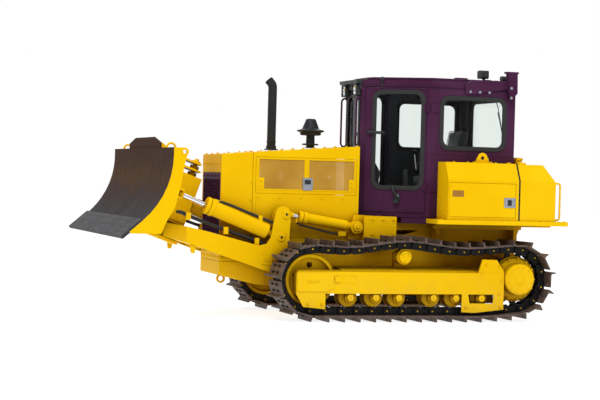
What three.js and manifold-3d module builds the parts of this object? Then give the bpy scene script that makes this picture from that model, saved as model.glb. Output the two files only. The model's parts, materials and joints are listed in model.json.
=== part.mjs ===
// A crawler bulldozer with a hydraulic angle blade on a C-frame, held raised for travel.
// Millimetres. X runs forward from the sprocket axle, Y to the machine's left, Z up from the ground.
import * as THREE from "three";
import { mergeVertices } from "three/addons/utils/BufferGeometryUtils.js";
import Module from "manifold-3d";

const wasm = await Module();
wasm.setup();

// Driving dimensions
const overallFront = 5234.2; // tip of the cutting edge
const overallRear = -650; // rear edge of the step plates
const gap = 1; // between pieces that rest on each other

const trackY = 943; // middle of a track
const shoeHalf = 250;
const idlerAxle = { x: 2732, z: 505 };
const sprocketAxle = { x: 0, z: 540 };
const carrierAxle = { x: 1525, z: 805 };
const rollerAxles = [500, 847, 1150, 1610, 1913, 2246];
const rollerZ = 298;
const pitchRadius = 380; // chain pins on both wheels
const linkHalf = 50;
const shoeThick = 15;
const grouserHeight = 60;
const shoeCount = 39;

const hullHalf = 455;
const hoodRear = 1930;
const maskRear = 3335;
const noseFront = 3740;
const deckTop = 1278;

const cabFront = 1870;
const cabFrontHalf = 300;
const cabCorner = 1100; // where the slanted door wall meets the side wall
const cabHalf = 780;
const cabRear = -50;
const cabFloor = 1285;
const cabRoof = 3020;
const cabWall = 45;

const liftPivot = { x: 2400, z: 520 }; // C-frame trunnions
const armY = [525, 655];
const armMidY = 590;
const leverTop = { x: 2945, z: 1293 }; // lift rod eye
const leverLow = { x: 3005, z: 1009 }; // angle barrel eye
const liftAnchor = { x: 2008, z: 1147 };
const angleAxis = { x: 4275, z: 1060 }; // a point on the nose pin
const noseLean = THREE.MathUtils.degToRad(20); // nose pin leans back while the blade is raised
const bladeHalf = 1672;
const tiltRise = 20; // tilt pin above the middle of the nose
const angleEye = { u: 220, w: 424 };
const tiltBar = { u: 430, w: 820, barrelY: -330, rodY: 350 };

// Finishes
const finish = (color, roughness, metalness = 0) =>
  new THREE.MeshStandardMaterial({ color, roughness, metalness });
const yellowPaint = finish(0xf4c31a, 0.38);
const purplePaint = finish(0x5a2f4c, 0.35);
const blackPaint = finish(0x37383a, 0.55);
const bladeSteel = finish(0x55504e, 0.5, 0.6);
const edgeSteel = finish(0x5f6064, 0.45, 0.7);
const trackSteel = finish(0x4a4341, 0.6, 0.6);
const castIron = finish(0x6a6c6e, 0.6, 0.5);
const chrome = finish(0xe8eaf0, 0.12, 1);
const glass = new THREE.MeshStandardMaterial({
  color: 0xbcc8c8, roughness: 0.05, transparent: true, opacity: 0.3,
});
const seatVinyl = finish(0x2a2c30, 0.7);
const blackPlastic = finish(0x24262a, 0.6);

// Solids
function solid(geometry) {
  const bare = geometry.index ? geometry.toNonIndexed() : geometry.clone();
  bare.deleteAttribute("normal");
  bare.deleteAttribute("uv");
  const merged = mergeVertices(bare, 1e-3);
  return new wasm.Manifold(
    new wasm.Mesh({
      numProp: 3,
      vertProperties: merged.attributes.position.array,
      triVerts: new Uint32Array(merged.index.array),
    }),
  );
}
const join = (...pieces) => pieces.reduce((whole, piece) => whole.add(piece));
const cut = (whole, ...holes) => holes.reduce((rest, hole) => rest.subtract(hole), whole);

function block([x0, x1], [y0, y1], [z0, z1]) {
  const box = new THREE.BoxGeometry(x1 - x0, y1 - y0, z1 - z0);
  return solid(box.translate((x0 + x1) / 2, (y0 + y1) / 2, (z0 + z1) / 2));
}
const outline = (points) => points instanceof THREE.Shape
  ? points
  : new THREE.Shape(points.map(([a, b]) => new THREE.Vector2(a, b)));
const thicken = (shape, depth) =>
  new THREE.ExtrudeGeometry(shape, { depth, bevelEnabled: false, curveSegments: 8 });

// A plate whose outline lies in the side view (x, z).
function sidePlate(points, [y0, y1]) {
  const plate = thicken(outline(points), y1 - y0);
  return solid(plate.rotateX(Math.PI / 2).translate(0, y1, 0));
}
// A plate whose outline lies in plan (x, y).
function planPlate(points, [z0, z1]) {
  return solid(thicken(outline(points), z1 - z0).translate(0, 0, z0));
}
// A plate whose outline lies in the front view (y, z).
const frontBasis = new THREE.Matrix4().makeBasis(
  new THREE.Vector3(0, 1, 0), new THREE.Vector3(0, 0, 1), new THREE.Vector3(1, 0, 0),
);
function frontPlate(points, [x0, x1]) {
  return solid(thicken(outline(points), x1 - x0).applyMatrix4(frontBasis).translate(x0, 0, 0));
}
function rod(from, to, radius, sides = 12) {
  const a = new THREE.Vector3(...from);
  const b = new THREE.Vector3(...to);
  const along = b.clone().sub(a);
  const turn = new THREE.Quaternion().setFromUnitVectors(
    new THREE.Vector3(0, 1, 0), along.clone().normalize(),
  );
  const bar = new THREE.CylinderGeometry(radius, radius, along.length(), sides);
  const middle = a.clone().add(b).multiplyScalar(0.5);
  return solid(bar.applyQuaternion(turn).translate(middle.x, middle.y, middle.z));
}
// A turned piece about the line (x, z) parallel to Y; the profile lists [radius, y].
function wheel(profile, { x, z }, sides = 32) {
  const points = profile.map(([r, y]) => new THREE.Vector2(r, y));
  return solid(new THREE.LatheGeometry(points, sides).translate(x, 0, z));
}
// A ring of holes in a wheel.
function wheelHoles(count, radius, holeRadius, { x, z }, [y0, y1]) {
  return Array.from({ length: count }, (_, i) => {
    const turn = (2 * Math.PI * (i + 0.25)) / count;
    const [hx, hz] = [x + radius * Math.cos(turn), z + radius * Math.sin(turn)];
    return rod([hx, y0, hz], [hx, y1, hz], holeRadius, 10);
  });
}

// Scene
const machine = new THREE.Group();
machine.position.x = -(overallFront + overallRear) / 2;

function piece(name, shape, material, side = 1) {
  const { vertProperties, triVerts } = shape.getMesh();
  const geometry = new THREE.BufferGeometry()
    .setAttribute("position", new THREE.BufferAttribute(vertProperties, 3))
    .setIndex(new THREE.BufferAttribute(triVerts, 1));
  geometry.computeVertexNormals();
  const mesh = new THREE.Mesh(geometry, material);
  mesh.name = name;
  mesh.scale.y = side;
  machine.add(mesh);
}
// The left piece and its mirror image on the right.
function pair(name, shape, material) {
  piece(name + "_left", shape, material);
  piece(name + "_right", shape, material, -1);
}

// Coordinates of the raised nose: u forward along the tilt pin, w up along the nose pin.
function nosePoint(u, w) {
  return [
    angleAxis.x + u * Math.cos(noseLean) - w * Math.sin(noseLean),
    angleAxis.z + u * Math.sin(noseLean) + w * Math.cos(noseLean),
  ];
}
function noseBlock([u0, u1], y, [w0, w1]) {
  const corners = [[u0, w0], [u1, w0], [u1, w1], [u0, w1]];
  return sidePlate(corners.map(([u, w]) => nosePoint(u, w)), y);
}
function noseRod([u0, y0, w0], [u1, y1, w1], radius, sides) {
  const [x0, z0] = nosePoint(u0, w0);
  const [x1, z1] = nosePoint(u1, w1);
  return rod([x0, y0, z0], [x1, y1, z1], radius, sides);
}

// Main frame: a tub between the tracks, final drive cases, cross beams and the step plates.
function makeMainFrame() {
  const side = [[-310, 1158], [-250, 1000], [-250, 500], [-120, 403], [3136, 403],
    [3136, 691], [3332, 691], [3332, 998], [1500, 998], [980, 1158]];
  const wall = 30;
  const parts = [
    block([-240, 3136], [-hullHalf, hullHalf], [403, 403 + wall]),
    block([-250, -215], [-hullHalf, hullHalf], [500, 1000]),
  ];
  for (const s of [-1, 1]) {
    const span = (a, b) => (s > 0 ? [a, b] : [-b, -a]);
    parts.push(
      sidePlate(side, span(hullHalf - wall, hullHalf)),
      block([-250, 980], span(hullHalf - wall, 640), [1150, 1200]),
      block([-200, -150], span(hullHalf - wall, 620), [900, 1160]),
      block([880, 930], span(hullHalf - wall, 620), [900, 1160]),
      block([-640, 980], span(600, 700), [1190, 1262]),
      planPlate(s > 0 ? stepPlan : stepPlan.map(([x, y]) => [x, -y]).reverse(), [1222, deckTop]),
      rod([sprocketAxle.x, s * (hullHalf - wall), sprocketAxle.z],
        [sprocketAxle.x, s * 880, sprocketAxle.z], 240, 16),
      block([560, 760], span(hullHalf - wall, 734), [400, 560]),
      block([1780, 1960], span(hullHalf - wall, 734), [410, 560]),
      rod([liftPivot.x, s * (hullHalf - wall), liftPivot.z],
        [liftPivot.x, s * 650, liftPivot.z], 55),
      rod([liftPivot.x, s * (hullHalf - wall), liftPivot.z],
        [liftPivot.x, s * 515, liftPivot.z], 120),
      sidePlate([[1480, 1000], [1915, 1000], [1915, 1290], [1480, 1290]], span(600, 640)),
      block([1480, 1915], span(hullHalf - wall, 600), [960, 1060]),
      block([1850, 2060], span(hullHalf + gap, 520), [990, 1225]),
      rod([liftAnchor.x, s * 500, liftAnchor.z], [liftAnchor.x, s * 650, liftAnchor.z], 35),
    );
  }
  parts.push(block([-650, -400], [-700, 700], [1222, deckTop]));
  return join(...parts);
}
const stepPlan = [[-650, 600], [-62, 600], [-62, 790], [1140, 790], [1140, 1175], [-650, 1175]];

// Nose guard under the radiator with a towing ring.
function makeNoseGuard() {
  const outer = [[3140, 404], [3281, 415], [noseFront - 2, 523], [noseFront - 2, 688], [3140, 688]];
  const inner = [[3130, 424], [3281, 435], [noseFront - 20, 541], [noseFront - 20, 700], [3130, 700]];
  const shell = cut(
    sidePlate(outer, [-hullHalf, hullHalf]),
    sidePlate(inner, [18 - hullHalf, hullHalf - 18]),
  );
  const ring = { x: 3590, z: 452 };
  return join(shell, cut(
    rod([ring.x, -14, ring.z], [ring.x, 14, ring.z], 58),
    rod([ring.x, -20, ring.z], [ring.x, 20, ring.z], 32),
  ));
}

const grilleOpening = { y: 425, z: [800, 1790] };
function makeRadiatorMask() {
  const outer = [[maskRear, 692], [noseFront, 692], [noseFront, 2016], [maskRear, 2052]];
  const inner = [[maskRear - 10, 680], [noseFront - 16, 680], [noseFront - 16, 2002],
    [maskRear - 10, 2039]];
  return cut(
    sidePlate(outer, [-hullHalf, hullHalf]),
    sidePlate(inner, [14 - hullHalf, hullHalf - 14]),
    block([noseFront - 30, noseFront + 10], [-grilleOpening.y, grilleOpening.y], grilleOpening.z),
  );
}
function makeGrille() {
  const half = grilleOpening.y - gap;
  const [low, high] = [grilleOpening.z[0] + gap, grilleOpening.z[1] - gap];
  const depth = [noseFront - 14, noseFront - 4];
  const frame = cut(
    block(depth, [-half, half], [low, high]),
    block([depth[0] - 5, depth[1] + 5], [30 - half, half - 30], [low + 30, high - 85]),
  );
  const bars = [-3, -2, -1, 0, 1, 2, 3].map((i) =>
    block(depth, [i * 105 - 6, i * 105 + 6], [low + 10, high - 20]));
  return join(frame, ...bars);
}

// Hood over the engine: one bent shell with an opening for each engine door.
const doorOpening = { x: [1966, 3296], z: [1545, 2000] };
function makeHood() {
  const end = maskRear - 3;
  const outer = [[hoodRear, 1000], [end, 1000], [end, 2052], [2730, 2105], [hoodRear, 2165]];
  const inner = [[hoodRear - 10, 990], [end + 10, 990], [end + 10, 2039], [2730, 2093],
    [hoodRear - 10, 2154]];
  return cut(
    sidePlate(outer, [-hullHalf, hullHalf]),
    sidePlate(inner, [10 - hullHalf, hullHalf - 10]),
    block(doorOpening.x, [-hullHalf - 10, hullHalf + 10], doorOpening.z),
  );
}
function makeEngineDoor() {
  const x = [doorOpening.x[0] + 2, doorOpening.x[1] - 2];
  const z = [doorOpening.z[0] + 2, doorOpening.z[1] - 2];
  const y = [hullHalf - 10, hullHalf];
  const through = [hullHalf - 20, hullHalf + 10];
  return cut(
    block(x, y, z),
    block([1998, 2604], through, [1600, 1975]),
    block([2660, 3256], through, [1600, 1975]),
  );
}

function makeEngine() {
  return join(
    block([2150, 3150], [-190, 190], [660, 1120]),
    block([2200, 3110], [-130, 130], [1100, 1500]),
    block([2240, 3060], [60, 230], [1300, 1440]),
    rod([3140, 0, 1050], [3300, 0, 1050], 60),
    rod([3290, 0, 1050], [3310, 0, 1050], 300, 16),
  );
}
const makeRadiatorCore = () => block([3440, 3560], [-400, 400], [800, 1900]);
function makeTransmission() {
  return join(
    block([300, 1500], [-230, 230], [520, 940]),
    rod([1490, 0, 800], [2100, 0, 800], 150, 12),
    rod([0, -400, sprocketAxle.z], [0, 400, sprocketAxle.z], 100, 16),
    block([-60, 320], [-160, 160], [480, 760]),
  );
}
function makeExhaust() {
  const [x, bend, radius] = [2970, 2935, 56];
  const pipe = join(
    rod([x, 0, 2091], [x, 0, bend], radius),
    rod([x - 20, 0, bend - 34], [x + 62, 0, bend + 78], radius),
  );
  return cut(pipe, rod([x - 4, 0, bend - 12], [x + 90, 0, bend + 116], radius - 5));
}
function makePrecleaner() {
  const profile = [[0, 2132], [54, 2132], [54, 2170], [105, 2174], [105, 2188], [54, 2192],
    [54, 2290], [128, 2296], [128, 2332], [175, 2344], [175, 2358], [112, 2376], [62, 2508],
    [0, 2512]];
  const turned = new THREE.LatheGeometry(profile.map(([r, h]) => new THREE.Vector2(r, h)), 16);
  return solid(turned.rotateX(Math.PI / 2).translate(2447, 0, 0));
}

// Cab
const doorRun = Math.hypot(cabFront - cabCorner, cabHalf - cabFrontHalf);
const doorAlong = [(cabCorner - cabFront) / doorRun, (cabHalf - cabFrontHalf) / doorRun];
const doorOut = [doorAlong[1], -doorAlong[0]];
// A plan point on the left door wall: t runs 0 to 1 from the front corner, depth goes inward.
const doorPoint = (t, depth) => [
  cabFront + doorAlong[0] * doorRun * t - doorOut[0] * depth,
  cabFrontHalf + doorAlong[1] * doorRun * t - doorOut[1] * depth,
];
const doorStrip = ([t0, t1], [d0, d1], z) =>
  planPlate([doorPoint(t0, d1), doorPoint(t0, d0), doorPoint(t1, d0), doorPoint(t1, d1)], z);
const mirrorPlan = (points) => [...points].reverse().map(([x, y]) => [x, -y]);
const bothHalves = (half) => [...half, ...mirrorPlan(half)];
const cabOuter = bothHalves([[cabFront, cabFrontHalf], [cabCorner, cabHalf], [cabRear, cabHalf]]);
const cabInner = bothHalves([[cabFront - cabWall, 275], [1087, cabHalf - cabWall],
  [cabRear + cabWall, cabHalf - cabWall]]);
const doorHole = { t: [0.05, 0.94], z: [1345, 2925] };
const sideHole = { x: [80, 980], z: [2160, 2830] };
const frontHole = { y: 235, z: [1900, 2850] };
const rearHole = { y: 600, z: [2150, 2850] };

function makeCab() {
  const sillPlan = [[1400, 480], [1400, 588], [1110, 768], [990, 768], [990, 480]];
  const mirrored = (shape) => shape.mirror([0, 1, 0]);
  const doorway = doorStrip(doorHole.t, [-30, 90], doorHole.z);
  const sideWindow = block(sideHole.x, [cabHalf - 80, cabHalf + 30], sideHole.z);
  const sill = planPlate(sillPlan, [1210, cabFloor + 10]);
  const shell = cut(
    planPlate(cabOuter, [cabFloor, cabRoof]),
    planPlate(cabInner, [cabFloor + 40, cabRoof - 60]),
    doorway, mirrored(doorway), sideWindow, mirrored(sideWindow),
    block([cabFront - 90, cabFront + 30], [-frontHole.y, frontHole.y], frontHole.z),
    block([cabRear - 30, cabRear + 90], [-rearHole.y, rearHole.y], rearHole.z),
  );
  const roofCap = bothHalves([[1780, 260], [1060, 720], [0, 720]]);
  return join(shell, sill, mirrored(sill), planPlate(roofCap, [cabRoof - 5, cabRoof + 38]));
}
function makeCabDoor() {
  return cut(
    doorStrip([0.056, 0.934], [0, 36], [1349, 2921]),
    doorStrip([0.17, 0.9], [-20, 60], [1640, 2890]),
  );
}
const makeDoorGlass = () => doorStrip([0.173, 0.897], [8, 14], [1643, 2887]);
const makeSideGlass = () => block([83, 977], [cabHalf - 14, cabHalf - 8], [2163, 2827]);
const makeWindshield = () => block([cabFront - 14, cabFront - 8], [-232, 232], [1903, 2847]);
const makeRearGlass = () => block([cabRear + 8, cabRear + 14], [-597, 597], [2153, 2847]);
function makeVisor() {
  const hood = sidePlate([[1871, 2990], [1950, 2972], [1962, 3020], [1871, 3034]], [-330, 330]);
  const lamp = (y) => block([1880, 1948], [y - 75, y + 75], [2815, 2980]);
  return join(hood, lamp(205), lamp(-205), block([1871, 1905], [-300, 300], [2900, 3000]));
}
function makeCabDuct() {
  const channel = [[-45, 2900], [35, 2815], [60, 2815], [95, 3150], [120, 3150], [120, 3175],
    [-55, 3175], [-55, 3150], [-40, 3150]];
  return join(
    sidePlate(channel, [cabHalf + gap, cabHalf + 76]),
    sidePlate([[40, 2960], [560, 2870], [655, 2880], [655, 3000], [560, 3055], [40, 3055]],
      [cabHalf + gap, cabHalf + 30]),
  );
}
// The seat's pedestal with the lever box beside it.
const makeSeatPedestal = () => join(
  block([500, 900], [-200, 200], [1326, 1700]),
  block([520, 980], [-480, -310], [1326, 1900]),
  block([560, 860], [-320, -190], [1326, 1400]),
);
const makeSeatCushion = () => block([440, 960], [-250, 250], [1702, 1830]);
const makeSeatBack = () =>
  sidePlate([[440, 1834], [560, 1834], [440, 2440], [330, 2420]], [-240, 240]);
const makeDashboard = () =>
  sidePlate([[1790, 1326], [1790, 1985], [1640, 1985], [1560, 1850], [1640, 1326]], [-220, 220]);
function makeControlLever() {
  return join(
    rod([820, -395, 1906], [850, -395, 2120], 11, 10),
    solid(new THREE.SphereGeometry(32, 10, 6).translate(852, -395, 2130)),
  );
}

// Boxes on the step plates, and the fuel tank behind the cab.
const fenderSection = [[cabHalf + 12, deckTop + gap], [1150, deckTop + gap], [1150, 1785],
  [1040, 2000], [cabHalf + 12, 2000]];
const fenderInside = [[cabHalf + 24, deckTop - 20], [1138, deckTop - 20], [1138, 1780],
  [1034, 1988], [cabHalf + 24, 1988]];
const boxDoor = { x: [76, 984], z: [1315, 1747] };
function makeFenderBox(withDoor) {
  const shell = cut(frontPlate(fenderSection, [35, 1000]), frontPlate(fenderInside, [47, 988]));
  const lug = new THREE.Shape();
  lug.moveTo(366, 1990).lineTo(566, 1990).lineTo(540, 2070).absarc(466, 2062, 66, 0, Math.PI);
  lug.lineTo(392, 2070);
  const eye = rod([466, 900, 2062], [466, 1100, 2062], 24, 12);
  const box = join(shell, cut(sidePlate(lug, [950, 966]), eye));
  return withDoor ? cut(box, block(boxDoor.x, [1130, 1160], boxDoor.z)) : box;
}
const makeBoxDoor = () =>
  block([boxDoor.x[0] + 3, boxDoor.x[1] - 3], [1140, 1150], [boxDoor.z[0] + 3, boxDoor.z[1] - 3]);

function makeFuelTank() {
  const side = [[-478, deckTop + gap], [18, deckTop + gap], [18, 1995], [-340, 1995], [-478, 1770]];
  const inside = [[-470, deckTop + 9], [10, deckTop + 9], [10, 1987], [-335, 1987], [-470, 1766]];
  const section = (half, low, high, inset) => frontPlate([[-half, low], [half, low],
    [half, 1785], [half - 110, high], [110 - half, high], [-half, 1785]], [-500 + inset, 60]);
  const notch = block([cabRear - 12, 60], [-cabHalf - 12, cabHalf + 12], [1200, 2100]);
  const cavityNotch = block([cabRear - 20, 60], [-cabHalf - 20, cabHalf + 20], [1200, 2100]);
  const body = cut(sidePlate(side, [-1150, 1150]).intersect(section(1150, 1200, 1995, 0)), notch);
  const cavity = cut(
    sidePlate(inside, [-1142, 1142]).intersect(section(1142, 1200, 1987, 0)), cavityNotch);
  const filler = cut(rod([-180, 600, 1980], [-180, 600, 2050], 62), rod([-180, 600, 1950],
    [-180, 600, 2060], 50));
  return cut(join(cut(body, cavity), filler), rod([-180, 600, 1950], [-180, 600, 2060], 50));
}

// Track chain: one band of links along the path of the pins, a shoe with one grouser on every link.
function chainPath() {
  const path = new THREE.Path();
  path.moveTo(idlerAxle.x, idlerAxle.z - pitchRadius);
  path.absarc(idlerAxle.x, idlerAxle.z, pitchRadius, -Math.PI / 2, Math.PI / 2, false);
  path.splineThru([
    new THREE.Vector2(2200, 868),
    new THREE.Vector2(carrierAxle.x, carrierAxle.z + 87 + 6 + linkHalf),
    new THREE.Vector2(780, 872),
    new THREE.Vector2(sprocketAxle.x, sprocketAxle.z + pitchRadius),
  ]);
  path.absarc(sprocketAxle.x, sprocketAxle.z, pitchRadius, Math.PI / 2, 1.5 * Math.PI, false);
  path.lineTo(480, idlerAxle.z - pitchRadius);
  path.lineTo(idlerAxle.x, idlerAxle.z - pitchRadius);
  return path.getSpacedPoints(shoeCount).slice(0, shoeCount);
}
function makeChain() {
  const pins = chainPath();
  const next = (i) => pins[(i + 1) % shoeCount];
  const before = (i) => pins[(i + shoeCount - 1) % shoeCount];
  const offset = (distance) => pins.map((pin, i) => {
    const along = next(i).clone().sub(before(i)).normalize();
    return new THREE.Vector2(pin.x + along.y * distance, pin.y - along.x * distance);
  });
  const ring = new THREE.Shape(offset(linkHalf));
  ring.holes.push(new THREE.Path(offset(-linkHalf)));
  const links = sidePlate(ring, [trackY - 75, trackY + 75]);
  const shoes = pins.map((pin, i) => {
    const along = next(i).clone().sub(pin);
    const run = along.length();
    along.normalize();
    const at = (s, d) => [pin.x + along.x * s + along.y * d, pin.y + along.y * s - along.x * d];
    const [base, face] = [linkHalf - 4, linkHalf + shoeThick];
    const tip = face + grouserHeight;
    const section = [at(-4, base), at(run - 14, base), at(run - 14, face), at(24, face),
      at(14, tip), at(2, tip), at(-4, face)];
    return sidePlate(section, [trackY - shoeHalf, trackY + shoeHalf]);
  });
  return join(links, ...shoes);
}

function makeSprocket() {
  const teeth = 13;
  const [root, tip] = [286, 313];
  const gear = new THREE.Shape();
  for (let i = 0; i < teeth; i++) {
    const turn = (share) => (2 * Math.PI * (i + share)) / teeth;
    const point = (radius, share) => [
      sprocketAxle.x + radius * Math.cos(turn(share)), sprocketAxle.z + radius * Math.sin(turn(share)),
    ];
    if (i) gear.lineTo(...point(root, 0));
    else gear.moveTo(...point(root, 0));
    gear.lineTo(...point(root, 0.3));
    gear.lineTo(...point(tip, 0.55));
    gear.lineTo(...point(tip, 0.75));
  }
  const hub = [[0, 885], [262, 885], [262, 960], [286, 1000], [286, 1026], [236, 1032],
    [195, 1040], [195, 1176], [182, 1190], [0, 1190]];
  return join(sidePlate(gear, [trackY - 28, trackY + 28]), wheel(hub, sprocketAxle, 20));
}
function makeIdler() {
  const rim = [[0, 843], [60, 843], [60, 925], [270, 925], [280, 868], [315, 868], [315, 1018], [280, 1018],
    [270, 965], [60, 965], [60, 1037], [0, 1037]];
  return cut(
    wheel(rim, idlerAxle, 20),
    ...wheelHoles(5, 205, 34, idlerAxle, [900, 990]),
  );
}
function makeTrackRollers() {
  const parts = [block([rollerAxles[0] - 60, rollerAxles.at(-1) + 60], [1044, 1080], [304, 346])];
  for (const x of rollerAxles) {
    const at = { x, z: rollerZ };
    parts.push(
      wheel([[0, 852], [119, 852], [119, 1034], [46, 1034], [46, 1092], [0, 1092]], at, 12),
      rod([x, 1090, rollerZ], [x, 1122, rollerZ], 48, 6),
    );
  }
  return join(...parts);
}
const makeCarrierRoller = () => wheel(
  [[0, 862], [87, 862], [87, 1040], [98, 1044], [98, 1060], [80, 1066], [80, 1100],
    [0, 1100]], carrierAxle, 16);

function makeTrackFrame() {
  const nose = [[206, 349], [2575, 349], [2575, 158], [2858, 187], [2951, 343], [2951, 590],
    [2905, 640], [206, 640]];
  const sideSlope = frontPlate([[1040, 100], [1150, 100], [1150, 616], [1040, 636]], [100, 3000]);
  const outer = sidePlate(nose, [1040, 1150]).intersect(sideSlope);
  const skirtSpace = block([2500, 3000], [1030, 1132], [100, 347]);
  const hubPlate = [[206, 300], [206, 634], [310, 784], [502, 788], [560, 600], [560, 300]];
  const skirt = [[206, 400], [206, 160], [600, 118], [776, 126], [776, 349], [560, 400]];
  const window = [[340, 349], [690, 349], [670, 236], [352, 236]];
  const inner = [[290, 349], [2940, 349], [2940, 620], [2860, 670], [290, 670]];
  return join(
    cut(outer, skirtSpace),
    cut(sidePlate(hubPlate, [1110, 1146]), block([200, 620], [1100, 1160], [100, 349])),
    cut(sidePlate(skirt, [1132, 1150]), sidePlate(window, [1100, 1160])),
    sidePlate(inner, [738, 840]),
    frontPlate([[800, 640], [1080, 600], [1080, 632], [800, 672]], [380, 2350]),
    block([1480, 1570], [745, 838], [660, 850]),
    rod([carrierAxle.x, 830, carrierAxle.z], [carrierAxle.x, 858, carrierAxle.z], 40),
  );
}

// C-frame: two box arms with lever plates, bent in to a nose that carries the blade.
function makeCFrame() {
  const beam = [[2290, 450], [2360, 400], [2480, 395], [3192, 595], [3950, 842], [3950, 1067],
    [3329, 912], [3180, 885], [2960, 825], [2700, 720], [2440, 640], [2310, 600]];
  const cheek = [[2960, 790], [3240, 800], [3300, 900], [3190, 925], [3143, 1000], [3078, 1330],
    [3040, 1380], [2985, 1395], [2925, 1375], [2885, 1300], [2900, 1000], [2880, 790]];
  const arms = [];
  for (const s of [-1, 1]) {
    const span = (a, b) => (s > 0 ? [a, b] : [-b, -a]);
    arms.push(
      cut(sidePlate(beam, span(...armY)), rod([liftPivot.x, s * 500, liftPivot.z],
        [liftPivot.x, s * 700, liftPivot.z], 62)),
      sidePlate(cheek, span(armY[0], armY[0] + 19)),
      sidePlate(cheek, span(armY[1] - 19, armY[1])),
    );
  }
  const noseSide = [[3940, 838.7], [4400, 989], [4400, 1160], [4120, 1103], [3940, 1064.5]];
  const nosePlan = bothHalves([[4385, 150], [4330, 310], [4210, 655], [3935, 655], [3935, 525],
    [4180, 130]]);
  const nose = sidePlate(noseSide, [-655, 655]).intersect(planPlate(nosePlan, [700, 1300]));
  const boss = noseRod([0, 0, -106], [0, 0, 84], 120, 20);
  const prong = (y) => sidePlate([[4078, 900], [4156, 925], [4134, 795], [4098, 795]],
    [y - 28, y + 28]);
  const bore = noseRod([0, 0, -300], [0, 0, 300], 47, 20);
  return cut(join(...arms, nose, boss, prong(-605), prong(605)), bore);
}

// Carrier: clamps the nose, turns on its pin, and holds the blade and its three cylinders.
function makeCarrier() {
  const eyeRoom = 38;
  const parts = [
    noseBlock([-130, 300], [-140, 140], [93, 131]),
    noseBlock([-130, 300], [-140, 140], [-151, -113]),
    noseBlock([260, 345], [-150, 150], [-151, 925]),
    noseRod([0, 0, -150], [0, 0, 130], 40, 20),
    noseRod([340, 0, tiltRise], [490, 0, tiltRise], 55, 20),
    noseBlock([270, 345], [tiltBar.barrelY - 60, 130], [tiltBar.w - 35, tiltBar.w + 35]),
    noseRod([340, tiltBar.barrelY, tiltBar.w], [470, tiltBar.barrelY, tiltBar.w], 22, 16),
    noseBlock([-126, 270], [-120, 120], [700, 724]),
    noseBlock([-92, 270], [-120, 120], [790, 814]),
    noseBlock([-70, 270], [-120, 120], [880, 904]),
    noseRod([-20, 0, 712], [-20, 0, 918], 26, 16),
  ];
  for (const s of [-1, 1]) {
    const span = (a, b) => (s > 0 ? [a, b] : [-b, -a]);
    const middle = angleEye.w;
    parts.push(
      noseBlock([-130, 262], span(130, 150), [125, 724]),
      noseBlock([305, 370], span(140, 680), [middle - 62, middle + 62]),
      noseBlock([150, 310], span(500, 680), [middle + eyeRoom, middle + 62]),
      noseBlock([150, 310], span(500, 680), [middle - 62, middle - eyeRoom]),
    );
  }
  return join(...parts);
}

// Blade: a rolled face with ribs and end plates behind it.
const faceArc = { x: 5638, z: 1971, radius: 1000, turn: THREE.MathUtils.degToRad(49.3) };
const edgeRun = [Math.cos(THREE.MathUtils.degToRad(40.7)), -Math.sin(THREE.MathUtils.degToRad(40.7))];
function faceCurve(inset) {
  const radius = faceArc.radius + inset;
  const points = [[faceArc.x - radius, 2065]];
  const steps = 7;
  for (let i = 0; i <= steps; i++) {
    const turn = (faceArc.turn * i) / steps;
    points.push([faceArc.x - radius * Math.cos(turn), faceArc.z - radius * Math.sin(turn)]);
  }
  return points;
}
function makeMouldboard() {
  const front = faceCurve(0);
  const back = faceCurve(22);
  const foot = (points, run) => {
    const [x, z] = points.at(-1);
    return [x + edgeRun[0] * run, z + edgeRun[1] * run];
  };
  const shell = sidePlate([...front, foot(front, 195), foot(back, 195), ...back.reverse()],
    [-bladeHalf, bladeHalf]);
  const rear = [[5125, 1062], [4767, 1062], [4700, 1220], [4610, 1370], [4560, 1570],
    [4497, 1930], [4470, 2000], [4472, 2040], [4500, 2064]];
  const profile = [...front, foot(front, 190), ...rear];
  const inside = sidePlate(profile, [-bladeHalf, bladeHalf]);
  const ends = [[-bladeHalf, 28 - bladeHalf], [bladeHalf - 28, bladeHalf]].map((y) =>
    sidePlate(profile, y));
  const ribs = [-120, 150, 520, 880].map((w) =>
    noseBlock([w < 100 ? 440 : 500, 900], [-bladeHalf, bladeHalf], [w, w + 18]).intersect(inside));
  const posts = [-1100, -480, 462, 1082].map((y) =>
    noseBlock([Math.abs(y) < 600 ? 500 : 450, 900], [y, y + 18], [-200, 1000]).intersect(inside));
  const socket = noseBlock([405, 560], [-110, 110], [tiltRise - 135, tiltRise + 135]);
  const rodPin = noseRod([400, tiltBar.rodY, tiltBar.w], [640, tiltBar.rodY, tiltBar.w], 22, 16);
  const rodPad = noseBlock([500, 640], [tiltBar.rodY - 60, tiltBar.rodY + 60],
    [tiltBar.w - 60, tiltBar.w + 60]).intersect(inside);
  const eyes = [-1, 1].map((s) => {
    const y = s > 0 ? [bladeHalf - 28, bladeHalf] : [-bladeHalf, 28 - bladeHalf];
    return rod([4510, y[0] - 10, 2017], [4510, y[1] + 10, 2017], 24, 12);
  });
  return cut(
    join(shell, ...ends, ...ribs, ...posts, socket, rodPin, rodPad),
    noseRod([350, 0, tiltRise], [500, 0, tiltRise], 62, 20),
    ...eyes,
  );
}
function makeCuttingEdge() {
  const [x, z] = faceCurve(0).at(-1);
  const at = (s, d) => [x + edgeRun[0] * s - edgeRun[1] * d, z + edgeRun[1] * s + edgeRun[0] * d];
  const under = 206; // beyond the blade's foot the edge is full thickness
  const profile = [at(-6, 0.6), at(under, 0.6), at(under, -14), at(312, -14), at(318, 2),
    at(306, 25), at(-6, 25)];
  return sidePlate(profile.reverse(), [-bladeHalf, bladeHalf]);
}
const makeSpillGuard = () => frontPlate([[-870, 2066], [870, 2066], [870, 2130], [520, 2200],
  [-520, 2200], [-870, 2130]], [4598, 4616]);

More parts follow.
